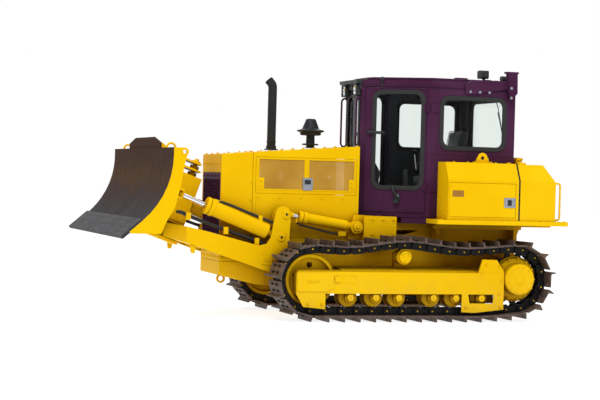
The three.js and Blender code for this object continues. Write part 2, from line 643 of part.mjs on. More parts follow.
// Cylinders: each barrel has an eye at its rear and a gland at its mouth; each rod has an eye.
function along(from, angle, y) {
  return (s) => [from.x + s * Math.cos(angle), y, from.z + s * Math.sin(angle)];
}
function makeBarrel(at, eyeRadius, eyeHalf, bore, start, end, radius, glandRadius, inner) {
  const [x, y, z] = at(0);
  const body = join(
    rod([x, y - eyeHalf, z], [x, y + eyeHalf, z], eyeRadius, 14),
    rod(at(eyeRadius * 0.5), at(start + 20), eyeRadius * 0.6),
    rod(at(start), at(end), radius, 16),
    rod(at(end - 90), at(end + 25), glandRadius, 16),
  );
  return cut(
    body,
    rod(at(start + 25), at(end + 40), inner, 12),
    rod([x, y - 200, z], [x, y + 200, z], bore, 12),
  );
}
const liftAngle = Math.atan2(leverTop.z - liftAnchor.z, leverTop.x - liftAnchor.x);
const liftLine = along(liftAnchor, liftAngle, armMidY);
const liftRun = Math.hypot(leverTop.x - liftAnchor.x, leverTop.z - liftAnchor.z);
const makeLiftBarrel = () => makeBarrel(liftLine, 80, 52, 42, 120, 745, 64, 76, 34);
function makeLiftRod() {
  const eye = 44;
  const [x, y, z] = liftLine(liftRun);
  return cut(
    join(rod(liftLine(170), liftLine(liftRun - eye * 0.6), 27.5), rod([x, y - 36, z],
      [x, y + 36, z], eye + 12, 20)),
    rod([x, y - 60, z], [x, y + 60, z], eye - 6),
  );
}
const [angleEyeX, angleEyeZ] = nosePoint(angleEye.u, angleEye.w);
const angleSlope = Math.atan2(angleEyeZ - leverLow.z, angleEyeX - leverLow.x);
const angleLine = along(leverLow, angleSlope, armMidY);
const angleRun = Math.hypot(angleEyeX - leverLow.x, angleEyeZ - leverLow.z);
const makeAngleBarrel = () => makeBarrel(angleLine, 62, 34, 30, 178, 1010, 95, 108, 50);
function makeAngleRod() {
  const eyeRadius = 46;
  return cut(
    join(
      rod(angleLine(470), angleLine(angleRun - 30), 28),
      noseRod([angleEye.u, armMidY, angleEye.w - 30], [angleEye.u, armMidY, angleEye.w + 30],
        eyeRadius, 14),
    ),
    noseRod([angleEye.u, armMidY, angleEye.w - 60], [angleEye.u, armMidY, angleEye.w + 60], 20, 14),
  );
}
function makeTiltBarrel() {
  const { u, w, barrelY } = tiltBar;
  const body = join(
    noseRod([u - 26, barrelY, w], [u + 26, barrelY, w], 48, 20),
    noseRod([u, barrelY + 20, w], [u, barrelY + 430, w], 46, 20),
    noseRod([u, barrelY + 370, w], [u, barrelY + 445, w], 54, 20),
  );
  return cut(body, noseRod([u, barrelY + 90, w], [u, barrelY + 470, w], 25, 16),
    noseRod([u - 60, barrelY, w], [u + 60, barrelY, w], 26, 16));
}
function makeTiltRod() {
  const { u, w, barrelY, rodY } = tiltBar;
  return cut(
    join(noseRod([u, barrelY + 190, w], [u, rodY - 30, w], 20, 16),
      noseRod([u - 24, rodY, w], [u + 24, rodY, w], 52, 20)),
    noseRod([u - 60, rodY, w], [u + 60, rodY, w], 33, 16),
  );
}

piece("main_frame", makeMainFrame(), yellowPaint);
piece("nose_guard", makeNoseGuard(), yellowPaint);
piece("radiator_mask", makeRadiatorMask(), yellowPaint);
piece("radiator_core", makeRadiatorCore(), blackPaint);
piece("grille", makeGrille(), purplePaint);
piece("engine_block", makeEngine(), castIron);
piece("transmission_case", makeTransmission(), castIron);
piece("hood", makeHood(), yellowPaint);
pair("engine_door", makeEngineDoor(), yellowPaint);
piece("exhaust_stack", makeExhaust(), blackPaint);
piece("precleaner", makePrecleaner(), blackPaint);
piece("cab_shell", makeCab(), purplePaint);
pair("cab_door", makeCabDoor(), purplePaint);
pair("door_glass", makeDoorGlass(), glass);
pair("side_glass", makeSideGlass(), glass);
piece("windshield", makeWindshield(), glass);
piece("rear_glass", makeRearGlass(), glass);
piece("lamp_visor", makeVisor(), blackPaint);
pair("cab_duct", makeCabDuct(), purplePaint);
piece("seat_pedestal", makeSeatPedestal(), blackPlastic);
piece("seat_cushion", makeSeatCushion(), seatVinyl);
piece("seat_back", makeSeatBack(), seatVinyl);
piece("dashboard", makeDashboard(), blackPlastic);
piece("control_lever", makeControlLever(), blackPlastic);
piece("fender_box_left", makeFenderBox(true), yellowPaint);
piece("fender_box_right", makeFenderBox(false), yellowPaint, -1);
piece("battery_box_door", makeBoxDoor(), yellowPaint);
piece("fuel_tank", makeFuelTank(), yellowPaint);
pair("track_chain", makeChain(), trackSteel);
pair("track_frame", makeTrackFrame(), yellowPaint);
pair("track_rollers", makeTrackRollers(), yellowPaint);
pair("sprocket", makeSprocket(), yellowPaint);
pair("idler", makeIdler(), yellowPaint);
pair("carrier_roller", makeCarrierRoller(), yellowPaint);
piece("c_frame", makeCFrame(), yellowPaint);
piece("blade_carrier", makeCarrier(), yellowPaint);
piece("mouldboard", makeMouldboard(), bladeSteel);
piece("cutting_edge", makeCuttingEdge(), edgeSteel);
piece("spill_guard", makeSpillGuard(), bladeSteel);
pair("lift_barrel", makeLiftBarrel(), yellowPaint);
pair("lift_rod", makeLiftRod(), chrome);
pair("angle_barrel", makeAngleBarrel(), yellowPaint);
pair("angle_rod", makeAngleRod(), chrome);
piece("tilt_barrel", makeTiltBarrel(), yellowPaint);
piece("tilt_rod", makeTiltRod(), chrome);

export default machine;
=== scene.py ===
import json
import math
import random

import bmesh
import bpy
from mathutils import Matrix, Vector

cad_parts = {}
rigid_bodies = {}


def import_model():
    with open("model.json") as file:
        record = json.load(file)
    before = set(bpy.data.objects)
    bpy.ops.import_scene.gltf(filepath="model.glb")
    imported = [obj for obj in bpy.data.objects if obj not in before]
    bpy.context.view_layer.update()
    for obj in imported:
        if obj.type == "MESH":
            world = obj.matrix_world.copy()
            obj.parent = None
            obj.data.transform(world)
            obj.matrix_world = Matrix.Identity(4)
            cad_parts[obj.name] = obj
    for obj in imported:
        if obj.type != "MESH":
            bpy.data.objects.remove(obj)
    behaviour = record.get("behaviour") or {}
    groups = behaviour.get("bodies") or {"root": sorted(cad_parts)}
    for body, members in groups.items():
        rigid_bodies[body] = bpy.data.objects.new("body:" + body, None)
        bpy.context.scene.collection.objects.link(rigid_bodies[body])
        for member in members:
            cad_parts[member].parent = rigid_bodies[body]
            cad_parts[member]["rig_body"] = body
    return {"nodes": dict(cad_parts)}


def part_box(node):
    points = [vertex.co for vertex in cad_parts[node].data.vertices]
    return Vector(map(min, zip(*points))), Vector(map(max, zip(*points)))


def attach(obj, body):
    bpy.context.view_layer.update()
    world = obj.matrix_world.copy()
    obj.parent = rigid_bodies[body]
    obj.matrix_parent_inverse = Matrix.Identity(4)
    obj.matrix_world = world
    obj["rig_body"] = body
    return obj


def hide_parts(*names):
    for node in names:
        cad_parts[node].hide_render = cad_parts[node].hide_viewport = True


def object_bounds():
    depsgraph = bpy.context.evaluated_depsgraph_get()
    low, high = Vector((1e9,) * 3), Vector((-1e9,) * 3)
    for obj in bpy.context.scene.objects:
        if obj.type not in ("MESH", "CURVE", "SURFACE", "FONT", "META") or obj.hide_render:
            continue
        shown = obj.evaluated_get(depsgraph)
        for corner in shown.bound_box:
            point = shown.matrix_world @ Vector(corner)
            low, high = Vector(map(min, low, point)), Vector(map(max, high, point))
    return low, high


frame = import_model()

print("bulldozer: frame loaded")
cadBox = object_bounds()
random.seed(7)
sides = {"left": 1, "right": -1}


def middle(node):
    low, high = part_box(node)
    return (low + high) / 2


axleX = cadBox[0].x + 0.65  # lengths below run forward from the sprocket axle
trackY = middle("track_chain_left").y


def spot(x, y, z):
    return Vector((axleX + x, y, z))


# Shapes
class Form:
    # Gathers points and faces until they become one mesh.
    def __init__(self):
        self.points = []
        self.faces = []

    def add(self, points, faces):
        base = len(self.points)
        self.points += [Vector(p) for p in points]
        self.faces += [[base + i for i in face] for face in faces]
        return self


def asIs(a, b, c):
    return spot(a, b, c)


def inSide(a, b, c):  # outline in the side view, depth along the width
    return spot(a, c, b)


def inFront(a, b, c):  # outline in the front view, depth along the length
    return spot(c, a, b)


def prism(form, outline, low, high, place=inSide):
    n = len(outline)
    points = [place(a, b, low) for a, b in outline] + [place(a, b, high) for a, b in outline]
    walls = [[i, (i + 1) % n, n + (i + 1) % n, n + i] for i in range(n)]
    return form.add(points, [list(range(n))[::-1], list(range(n, 2 * n))] + walls)


def frameRing(form, outer, inner, low, high, place=inSide):
    # A flat ring between two outlines with the same number of points.
    n = len(outer)
    rings = [[place(a, b, c) for a, b in line] for line, c in
             ((outer, low), (inner, low), (inner, high), (outer, high))]
    points = [p for ring in rings for p in ring]
    faces = []
    for k in range(4):
        j = (k + 1) % 4
        faces += [[k * n + i, k * n + (i + 1) % n, j * n + (i + 1) % n, j * n + i] for i in range(n)]
    return form.add(points, faces)


def bar(form, low, high):
    (x0, y0, z0), (x1, y1, z1) = low, high
    return prism(form, [(x0, z0), (x1, z0), (x1, z1), (x0, z1)], y0, y1)


def across(axis):
    # Two directions square to an axis.
    axis = Vector(axis).normalized()
    first = axis.orthogonal().normalized()
    if abs(axis.z) < 0.9:
        first = Vector((0, 0, 1)).cross(axis).normalized()
    return axis, first, axis.cross(first)


def turned(form, profile, origin, axis=(0, 1, 0), steps=40, phase=0.0):
    # Turns (radius, distance along the axis) pairs about the axis.
    axis, first, second = across(axis)
    origin = Vector(origin)
    points, rows = [], []
    for radius, run in profile:
        if radius < 1e-6:
            rows.append([len(points)] * steps)
            points.append(origin + axis * run)
            continue
        rows.append(list(range(len(points), len(points) + steps)))
        for i in range(steps):
            turn = 2 * math.pi * (i + phase) / steps
            points.append(origin + axis * run
                          + (first * math.cos(turn) + second * math.sin(turn)) * radius)
    faces = []
    for low, high in zip(rows, rows[1:]):
        for i in range(steps):
            j = (i + 1) % steps
            face = [low[i], low[j], high[j], high[i]]
            faces.append(list(dict.fromkeys(face)))
    if profile[0][0] > 1e-6:
        faces.append(rows[0][::-1])
    if profile[-1][0] > 1e-6:
        faces.append(rows[-1])
    return form.add(points, [face for face in faces if len(face) > 2])


def rod(form, start, end, radius, steps=24, edge=0.0):
    start, end = Vector(start), Vector(end)
    run = (end - start).length
    edge = min(edge, radius * 0.5, run * 0.4)
    profile = [(0, 0), (radius - edge, 0), (radius, edge), (radius, run - edge), (radius - edge, run),
               (0, run)]
    return turned(form, profile if edge else [(0, 0), (radius, 0), (radius, run), (0, run)],
                  start, end - start, steps)


def pipe(form, start, end, outer, inner, steps=32):
    # A hollow tube with square ends.
    start, end = Vector(start), Vector(end)
    run = (end - start).length
    edge = min(0.002, (outer - inner) * 0.4)
    profile = [(inner, 0), (outer - edge, 0), (outer, edge), (outer, run - edge), (outer - edge, run),
               (inner, run)]
    axis, first, second = across(end - start)
    points = []
    for radius, at in profile:
        for i in range(steps):
            turn = 2 * math.pi * i / steps
            points.append(start + axis * at
                          + (first * math.cos(turn) + second * math.sin(turn)) * radius)
    rows = len(profile)
    faces = [[k * steps + i, k * steps + (i + 1) % steps, (k + 1) % rows * steps + (i + 1) % steps,
              (k + 1) % rows * steps + i] for k in range(rows) for i in range(steps)]
    return form.add(points, faces)


def tube(form, path, radius, steps=12, closed=False, flat=1.0):
    # Sweeps a round section along a path; flat below 1 squeezes it along its second direction.
    path = [Vector(p) for p in path]
    n = len(path)
    forward = [(path[(i + 1) % n] - path[i - 1] if closed else
                path[min(i + 1, n - 1)] - path[max(i - 1, 0)]).normalized() for i in range(n)]
    normal = across(forward[0])[1]
    points = []
    for p, f in zip(path, forward):
        normal = (normal - f * normal.dot(f)).normalized()
        other = f.cross(normal)
        for i in range(steps):
            turn = 2 * math.pi * i / steps
            points.append(p + normal * math.cos(turn) * radius
                          + other * math.sin(turn) * radius * flat)
    faces = []
    for k in range(n if closed else n - 1):
        j = (k + 1) % n
        faces += [[k * steps + i, k * steps + (i + 1) % steps, j * steps + (i + 1) % steps,
                   j * steps + i] for i in range(steps)]
    if not closed:
        faces += [list(range(steps))[::-1], list(range((n - 1) * steps, n * steps))]
    return form.add(points, faces)


def bolt(form, at, axis, size=0.024, stud=0.0):
    # A hexagon head on a washer; size is the width over the flats.
    at, axis = Vector(at), Vector(axis).normalized()
    across6 = size / 2 / math.cos(math.pi / 6)
    turned(form, [(0, 0), (size * 0.72, 0), (size * 0.72, size * 0.09), (0, size * 0.09)], at, axis, 16)
    turned(form, [(0, 0), (across6, 0), (across6, size * 0.52), (across6 * 0.84, size * 0.62),
                  (0, size * 0.62)], at, axis, 6)
    if stud:
        rod(form, at, at + axis * stud, size * 0.3, 10, 0.001)
    return form


def rounded(outline, radius, steps=5):
    # Replaces each corner of a closed outline by an arc.
    result = []
    n = len(outline)
    for i in range(n):
        before, here, after = (Vector(outline[k % n]) for k in (i - 1, i, i + 1))
        u, v = (before - here), (after - here)
        lengthU, lengthV = u.length, v.length
        u.normalize()
        v.normalize()
        half = math.acos(max(-1, min(1, u.dot(v)))) / 2
        if half > math.radians(85):
            result.append(tuple(here))
            continue
        reach = min(radius / math.tan(half), lengthU * 0.48, lengthV * 0.48)
        size = reach * math.tan(half)
        centre = here + (u + v).normalized() * (size / math.sin(half))
        start, end = here + u * reach - centre, here + v * reach - centre
        for k in range(steps + 1):
            share = k / steps
            arm = start.lerp(end, share)
            result.append(tuple(centre + arm.normalized() * size))
    return result


def rectangle(a0, a1, b0, b1):
    return [(a0, b0), (a1, b0), (a1, b1), (a0, b1)]


def circle(x, y, z, radius, count, shift=0.0, flat=False):
    # Points evenly round a circle that faces sideways, or upward when flat.
    points = []
    for i in range(count):
        turn = 2 * math.pi * (i + shift) / count
        a, b = radius * math.cos(turn), radius * math.sin(turn)
        points.append(spot(x + a, y + b, z) if flat else spot(x + a, y, z + b))
    return points


def disc(form, at, axis, rim, steps):
    # A solid turned from its rim; each point of the rim is a radius and a height.
    return turned(form, [(0, rim[0][1])] + rim + [(0, rim[-1][1])], at, axis, steps)


def bolts(form, places, axis, size):
    for place in places:
        bolt(form, place, axis, size)
    return form


def railPath(foot, bend, y, low, high, radius, hand):
    # A hand rail that leaves the wall at the top and comes back to it at the bottom.
    turns = [math.radians(90) * i / 6 for i in range(7)]
    top = [spot(bend + hand * radius * math.sin(t), y, high - radius + radius * math.cos(t))
           for t in turns]
    bottom = [spot(bend + hand * radius * math.cos(t), y, low + radius - radius * math.sin(t))
              for t in turns]
    return [spot(foot, y, high)] + top + bottom + [spot(foot, y, low)]


def sidePlate(form, outline, sign, near, far):
    # A plate on one side of the machine, between two distances from the middle.
    return prism(form, outline, *sorted((sign * near, sign * far)))


def sideBar(form, low, high, sign):
    # A block on one side of the machine.
    near, far = sorted((sign * low[1], sign * high[1]))
    return bar(form, (low[0], near, low[2]), (high[0], far, high[2]))


# Pieces
def newObject(name, mesh):
    item = bpy.data.objects.new(name, mesh)
    bpy.context.scene.collection.objects.link(item)
    return item


def meshOf(name, form):
    mesh = bpy.data.meshes.new(name)
    mesh.from_pydata([tuple(p) for p in form.points], [], form.faces)
    return mesh


def mend(mesh):
    # Joins points that coincide and turns every face outward.
    work = bmesh.new()
    work.from_mesh(mesh)
    bmesh.ops.remove_doubles(work, verts=work.verts, dist=1e-5)
    bmesh.ops.recalc_face_normals(work, faces=work.faces)
    work.to_mesh(mesh)
    work.free()


def settle(piece, material, body, bevel=0.0, steps=2, sharp=35, stands=()):
    # Gives a mesh its normals, edges, finish and body.
    mesh = piece.data
    mend(mesh)
    mesh.shade_smooth()
    mesh.set_sharp_from_angle(angle=math.radians(sharp))
    mesh.materials.clear()
    mesh.materials.append(material)
    if bevel:
        edges = piece.modifiers.new("edges", "BEVEL")
        edges.width = bevel
        edges.segments = steps
        edges.limit_method = "ANGLE"
        edges.angle_limit = math.radians(28)
        edges.harden_normals = True
    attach(piece, body)
    if stands:
        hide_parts(*stands)
    return piece


def build(name, form, material, body, **how):
    return settle(newObject(name, meshOf(name, form)), material, body, **how)


def dress(node, material, lining=None, lined=None):
    # The CAD shape again, with its edges broken as on rolled plate. Faces that lined picks get lining.
    source = frame["nodes"][node]
    mesh = source.data.copy()
    work = bmesh.new()
    work.from_mesh(mesh)
    bmesh.ops.remove_doubles(work, verts=work.verts, dist=2e-5)
    bmesh.ops.dissolve_limit(work, angle_limit=math.radians(1.5), verts=work.verts, edges=work.edges)
    work.to_mesh(mesh)
    work.free()
    settle(newObject(node + "_plate", mesh), material, source["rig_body"], bevel=0.004, stands=(node,))
    if lining:
        mesh.materials.append(lining)
        for face in mesh.polygons:
            if lined(face.center - spot(0, 0, 0)):
                face.material_index = 1


# Camera, light and floor
shot = {
    "place": (9.302, 20.874, 1.771),  # from the sprocket axle, the left and the ground
    "yaw": 17.84, "pitch": -0.80, "roll": -1.58,
    "lens": 102.8, "sensor": 36.0, "shift": 0.0025,
}


def makeCamera():
    yaw, pitch, roll = (math.radians(shot[k]) for k in ("yaw", "pitch", "roll"))
    forward = Vector((-math.sin(yaw) * math.cos(pitch), -math.cos(yaw) * math.cos(pitch),
                      math.sin(pitch)))
    right = forward.cross(Vector((0, 0, 1))).normalized()
    up = right.cross(forward)
    rolledRight = right * math.cos(roll) - up * math.sin(roll)
    rolledUp = right * math.sin(roll) + up * math.cos(roll)
    data = bpy.data.cameras.new("photoCamera")
    data.lens, data.sensor_width, data.shift_x = shot["lens"], shot["sensor"], shot["shift"]
    data.clip_end = 200
    camera = newObject("photoCamera", data)
    turn = Matrix((rolledRight, rolledUp, -forward)).transposed().to_4x4()
    camera.matrix_world = Matrix.Translation(spot(*shot["place"])) @ turn
    bpy.context.scene.camera = camera


lamps = {  # name: place, target, size, watts, colour
    "key": ((6.0, 9.5, 13.5), (2.2, 0.6, 1.2), 6.0, 1080, (1.0, 1.0, 0.99)),
    "fill": ((-7.0, 10.0, 6.0), (1.0, 0.6, 1.0), 8.0, 120, (0.95, 0.97, 1.0)),
    "front": ((13.0, 1.0, 5.0), (3.0, 0.0, 1.2), 6.0, 40, (1.0, 1.0, 1.0)),
    "back": ((-4.0, -11.0, 9.0), (1.0, 0.0, 1.5), 8.0, 450, (0.96, 0.98, 1.0)),
}


studio = {"white": -0.6, "dim": -0.2, "dimLevel": 0.28, "rise": 0.45, "top": 0.85, "topLevel": 0.9,
          "most": 1.2}


def makeLight():
    # The room is white beyond the right side, dim beyond the left, and brighter overhead.
    for name, (place, target, size, watts, tint) in lamps.items():
        data = bpy.data.lights.new(name, "AREA")
        data.energy, data.size, data.color = watts, size, tint
        lamp = newObject(name, data)
        lamp.location = spot(*place)
        lamp.rotation_mode = "QUATERNION"
        lamp.rotation_quaternion = (spot(*target) - spot(*place)).to_track_quat("-Z", "Y")
    world = bpy.data.worlds.new("studio")
    world.use_nodes = True
    tree = world.node_tree
    backdrop = tree.nodes["Background"]
    way = addNode(tree, "TexCoord").outputs["Generated"]
    parts = addNode(tree, "SeparateXYZ", {"Vector": way})
    near = ramp(tree, parts.outputs["Y"], studio["white"], studio["dim"], 1.0, studio["dimLevel"])
    above = ramp(tree, parts.outputs["Z"], studio["rise"], studio["top"], 0.0, studio["topLevel"])
    level = combine(tree, combine(tree, near, above), studio["most"], "MINIMUM")
    backdrop.inputs["Color"].default_value = (1, 1, 1, 1)
    tree.links.new(level, backdrop.inputs["Strength"])
    bpy.context.scene.world = world
    bpy.context.scene.view_settings.view_transform = "Standard"


# Finishes
def linear(hexColour):
    shares = [int(hexColour[i:i + 2], 16) / 255 for i in (1, 3, 5)]
    return tuple(s / 12.92 if s <= 0.04045 else ((s + 0.055) / 1.055) ** 2.4 for s in shares) + (1,)


def addNode(tree, kind, links=None, **settings):
    # Adds a shader node; links holds input values or the sockets that feed them.
    node = tree.nodes.new("ShaderNode" + kind)
    for key, value in settings.items():
        setattr(node, key, value)
    for key, value in (links or {}).items():
        if isinstance(value, bpy.types.NodeSocket):
            tree.links.new(value, node.inputs[key])
        else:
            node.inputs[key].default_value = value
    return node


def newFinish(name, slot, **surface):
    material = bpy.data.materials.new(name)
    material.use_nodes = True
    material["slot"] = slot
    tree = material.node_tree
    shader = tree.nodes["Principled BSDF"]
    for key, value in surface.items():
        shader.inputs[key].default_value = value
    place = addNode(tree, "TexCoord").outputs["Object"]
    return material, tree, shader, place


def perMetre(millimetres):
    return 1000.0 / millimetres  # pattern scale for a feature of that size


def noise(tree, place, mm, detail, roughness=0.5):
    return addNode(tree, "TexNoise", {"Vector": place, "Scale": perMetre(mm), "Detail": detail,
                                      "Roughness": roughness}).outputs["Fac"]


def stripes(tree, place, stretch):
    # Coordinates squeezed so that a noise runs in streaks.
    return addNode(tree, "Mapping", {"Vector": place, "Scale": stretch}).outputs["Vector"]


def shade(tree, factor, first, second):
    mix = addNode(tree, "Mix", {0: factor}, data_type="RGBA")
    for socket, value in ((mix.inputs[6], first), (mix.inputs[7], second)):
        if isinstance(value, bpy.types.NodeSocket):
            tree.links.new(value, socket)
        else:
            socket.default_value = value
    return mix.outputs[2]


def ramp(tree, value, low, high, toLow=0.0, toHigh=1.0):
    return addNode(tree, "MapRange", {"Value": value, "From Min": low, "From Max": high,
                                      "To Min": toLow, "To Max": toHigh}).outputs["Result"]


def combine(tree, a, b, operation="ADD"):
    return addNode(tree, "Math", {0: a, 1: b}, operation=operation).outputs[0]


def times(tree, a, b):
    return combine(tree, a, b, "MULTIPLY")


def wire(tree, shader, colour, rough, height=None, strength=0.0, depth=0.0):
    # Feeds the surface its colour, its roughness and the height of its fine relief.
    tree.links.new(colour, shader.inputs["Base Color"])
    tree.links.new(rough, shader.inputs["Roughness"])
    if height is not None:
        bump = addNode(tree, "Bump", {"Height": height, "Strength": strength, "Distance": depth})
        tree.links.new(bump.outputs["Normal"], shader.inputs["Normal"])


# The last two entries of each enamel are the colour and the strength of the shade painted into recesses.
enamels = {
    "yellow": {"main": "#EFBC02", "faded": "#F4C60C", "dust": "#C79A4A", "rough": 0.46,
               "fadeMm": 900, "dustTop": 0.75, "paintedShade": "#7A3D08", "paintedShadeStrength": 0.8},
    "purple": {"main": "#43203B", "faded": "#4F2C49", "dust": "#6E5A5C", "rough": 0.42,
               "fadeMm": 700, "dustTop": 0.2, "paintedShade": "#24101F", "paintedShadeStrength": 0.5},
}


def makeEnamel(name, look):
    # Two-pack machine enamel sprayed on steel plate: a soft gloss with orange peel, dust low down, and
    # shade painted darker into recesses.
    material, tree, shader, place = newFinish(name + "Enamel", name + "_paint", **{
        "Specular IOR Level": 0.05, "IOR": 1.3, "Coat Weight": 0.03, "Coat Roughness": 0.15})
    fade = noise(tree, place, look["fadeMm"], 3)
    body = shade(tree, ramp(tree, fade, 0.35, 0.7), linear(look["main"]), linear(look["faded"]))
    height = addNode(tree, "SeparateXYZ", {"Vector": place}).outputs["Z"]
    film = noise(tree, place, 160, 6, 0.65)
    low = ramp(tree, height, look["dustTop"], 0.1, 0.0, 0.35)
    dusty = times(tree, low, ramp(tree, film, 0.35, 0.7))
    colour = shade(tree, dusty, body, linear(look["dust"]))
    # Painted shade: ambient occlusion pulls the colour towards a dark shade colour in recesses, gaps and
    # behind the tracks, where shade falls.
    paintedShade = addNode(tree, "AmbientOcclusion", {"Distance": 0.6}, samples=6)
    colour = shade(tree, ramp(tree, paintedShade.outputs["AO"], 0.62, 0.2, 0.0, look["paintedShadeStrength"]), colour,
                   linear(look["paintedShade"]))
    rough = ramp(tree, film, 0.3, 0.75, look["rough"] - 0.05, look["rough"] + 0.1)
    wire(tree, shader, colour, rough, noise(tree, place, 5, 1), 0.06, 0.0006)
    return material


bladeLook = {"rust": "#4B3023", "ochre": "#5A4123", "brown": "#3B302A", "grey": "#48464A",
             "dark": "#2A2829", "rough": 0.5}


def makeBladeSteel():
    # Mild steel rubbed by soil: rust and old paint high up, polished grey low down, in vertical streaks.
    look = bladeLook
    material, tree, shader, place = newFinish("rubbedBladeSteel", "worn_blade_steel",
                                              **{"Specular IOR Level": 0.03, "IOR": 1.2})
    height = addNode(tree, "SeparateXYZ", {"Vector": place}).outputs["Z"]
    streak = noise(tree, stripes(tree, place, (0.6, 9, 0.6)), 1000 / 2.2, 8, 0.65)
    cloud = noise(tree, place, 420, 5, 0.6)
    wavy = combine(tree, height, times(tree, cloud, 0.5))
    lower = shade(tree, ramp(tree, streak, 0.3, 0.72), linear(look["grey"]), linear(look["dark"]))
    upper = shade(tree, ramp(tree, streak, 0.36, 0.66), linear(look["brown"]), linear(look["rust"]))
    band = times(tree, ramp(tree, wavy, 1.75, 1.9), ramp(tree, wavy, 2.25, 2.05))
    warm = shade(tree, times(tree, band, ramp(tree, streak, 0.4, 0.62, 0, 0.6)), upper,
                 linear(look["ochre"]))
    colour = shade(tree, ramp(tree, wavy, 1.45, 1.95), lower, warm)
    grit = noise(tree, stripes(tree, place, (1, 6, 1)), 26, 6, 0.7)
    rough = ramp(tree, grit, 0.3, 0.7, look["rough"] - 0.1, look["rough"] + 0.16)
    wire(tree, shader, colour, rough, grit, 0.25, 0.001)
    return material


steels = {  # bare and lightly coated metals
    "edge": {"slot": "worn_blade_steel", "main": "#403F43", "patch": "#2F2D2F", "mm": 60,
             "metal": 0.0, "rough": 0.5, "bump": 0.25, "gloss": 0.06},
    "shoe": {"slot": "track_steel", "main": "#6A5A52", "patch": "#3E332E", "mm": 75, "metal": 0.2,
             "rough": 0.62, "bump": 0.5},
    "link": {"slot": "track_steel", "main": "#131416", "patch": "#241F1D", "mm": 40, "metal": 0.35,
             "rough": 0.5, "bump": 0.35},
    "casting": {"slot": "cast_housing", "main": "#6B6D6C", "patch": "#4A4743", "mm": 50, "metal": 0.1,
                "rough": 0.6, "bump": 0.6},
    "heatPaint": {"slot": "black_paint", "main": "#202226", "patch": "#2B2C2F", "mm": 120,
                  "metal": 0.0, "rough": 0.48, "bump": 0.15, "gloss": 0.2},
    "zinc": {"slot": "chrome_rod", "main": "#B9BEC8", "patch": "#8E939B", "mm": 18, "metal": 0.9,
             "rough": 0.3, "bump": 0.1},
    "core": {"slot": "radiator_metal", "main": "#B4B2B8", "patch": "#5A585E", "mm": 14, "metal": 0.4,
             "rough": 0.6, "bump": 0.4},
}


def makeSteel(name, look):
    # Rolled or cast steel: uneven tone in patches, and a rough film in the hollows.
    material, tree, shader, place = newFinish(name + "Steel", look["slot"], **{
        "Metallic": look["metal"], "Specular IOR Level": look.get("gloss", 0.3)})
    patch = noise(tree, place, look["mm"], 7, 0.62)
    wide = noise(tree, place, look["mm"] * 8, 2)
    share = times(tree, ramp(tree, patch, 0.38, 0.64), ramp(tree, wide, 0.3, 0.7, 0.4, 1.0))
    colour = shade(tree, share, linear(look["main"]), linear(look["patch"]))
    rough = ramp(tree, patch, 0.3, 0.7, look["rough"] - 0.1, look["rough"] + 0.12)
    wire(tree, shader, colour, rough, patch, look["bump"], 0.0012)
    return material


def makeChrome():
    # Hard chrome ground on a lathe: a mirror dulled in places by a film of oil.
    material, tree, shader, place = newFinish("groundChrome", "chrome_rod", **{
        "Metallic": 1.0, "Base Color": linear("#E8EAF0")})
    tree.links.new(ramp(tree, noise(tree, place, 30, 4), 0.3, 0.7, 0.08, 0.2),
                   shader.inputs["Roughness"])
    return material


plastics = {
    "rubber": {"slot": "black_plastic", "main": "#16181A", "light": "#1F211F", "mm": 3, "rough": 0.6,
               "bump": 0.15},
    "plastic": {"slot": "black_plastic", "main": "#191B1D", "light": "#222427", "mm": 2.5,
                "rough": 0.55, "bump": 0.35},
    "vinyl": {"slot": "seat_vinyl", "main": "#26282C", "light": "#303338", "mm": 7, "rough": 0.52,
              "bump": 0.4},
    "lining": {"slot": "black_plastic", "main": "#3A3A41", "light": "#46464E", "mm": 9, "rough": 0.7,
               "bump": 0.3},
    "gap": {"slot": "black_plastic", "main": "#16130F", "light": "#1D1914", "mm": 12, "rough": 0.9,
            "bump": 0.1},
}


def makePlastic(name, look):
    # Moulded rubber, grained plastic or embossed vinyl: dark, with a fine pebble that breaks the shine.
    material, tree, shader, place = newFinish(name + "Skin", look["slot"], IOR=1.5)
    pebble = addNode(tree, "TexVoronoi", {"Vector": place, "Scale": perMetre(look["mm"])})
    tone = noise(tree, place, look["mm"] * 25, 4)
    colour = shade(tree, ramp(tree, tone, 0.35, 0.7), linear(look["main"]), linear(look["light"]))
    rough = ramp(tree, tone, 0.3, 0.7, look["rough"] - 0.08, look["rough"] + 0.1)
    wire(tree, shader, colour, rough, pebble.outputs["Distance"], look["bump"], 0.0004)
    return material


def makeGlass(name, tint, rough):
    # Toughened safety glass: clear with a slight grey-green tint and a thin film of dust.
    material, tree, shader, place = newFinish(name, "cab_glass", **{
        "IOR": 1.12, "Transmission Weight": 1.0, "Base Color": linear(tint)})
    film = noise(tree, place, 300, 5)
    tree.links.new(ramp(tree, film, 0.45, 0.8, rough, rough + 0.06), shader.inputs["Roughness"])
    return material


meshLook = {"dark": "#B5852F", "light": "#C99A3C", "holeMm": 14, "open": 0.2}


def makeMeshSheet():
    # Perforated sheet in thin paint: the holes are drawn coarser than the real 5 mm, so that they show.
    material, tree, shader, place = newFinish("perforatedSheet", "yellow_paint", **{
        "Roughness": 0.6, "Specular IOR Level": 0.1})
    dots = addNode(tree, "TexVoronoi", {"Vector": place, "Scale": perMetre(meshLook["holeMm"]),
                                        "Randomness": 0.0})
    hole = combine(tree, dots.outputs["Distance"], meshLook["open"], "LESS_THAN")
    tone = shade(tree, ramp(tree, noise(tree, place, 500, 3), 0.35, 0.7), linear(meshLook["dark"]),
                 linear(meshLook["light"]))
    tree.links.new(tone, shader.inputs["Base Color"])
    clear = addNode(tree, "BsdfTransparent")
    mix = addNode(tree, "MixShader", {0: hole, 1: shader.outputs[0], 2: clear.outputs[0]})
    tree.links.new(mix.outputs[0], tree.nodes["Material Output"].inputs["Surface"])
    return material


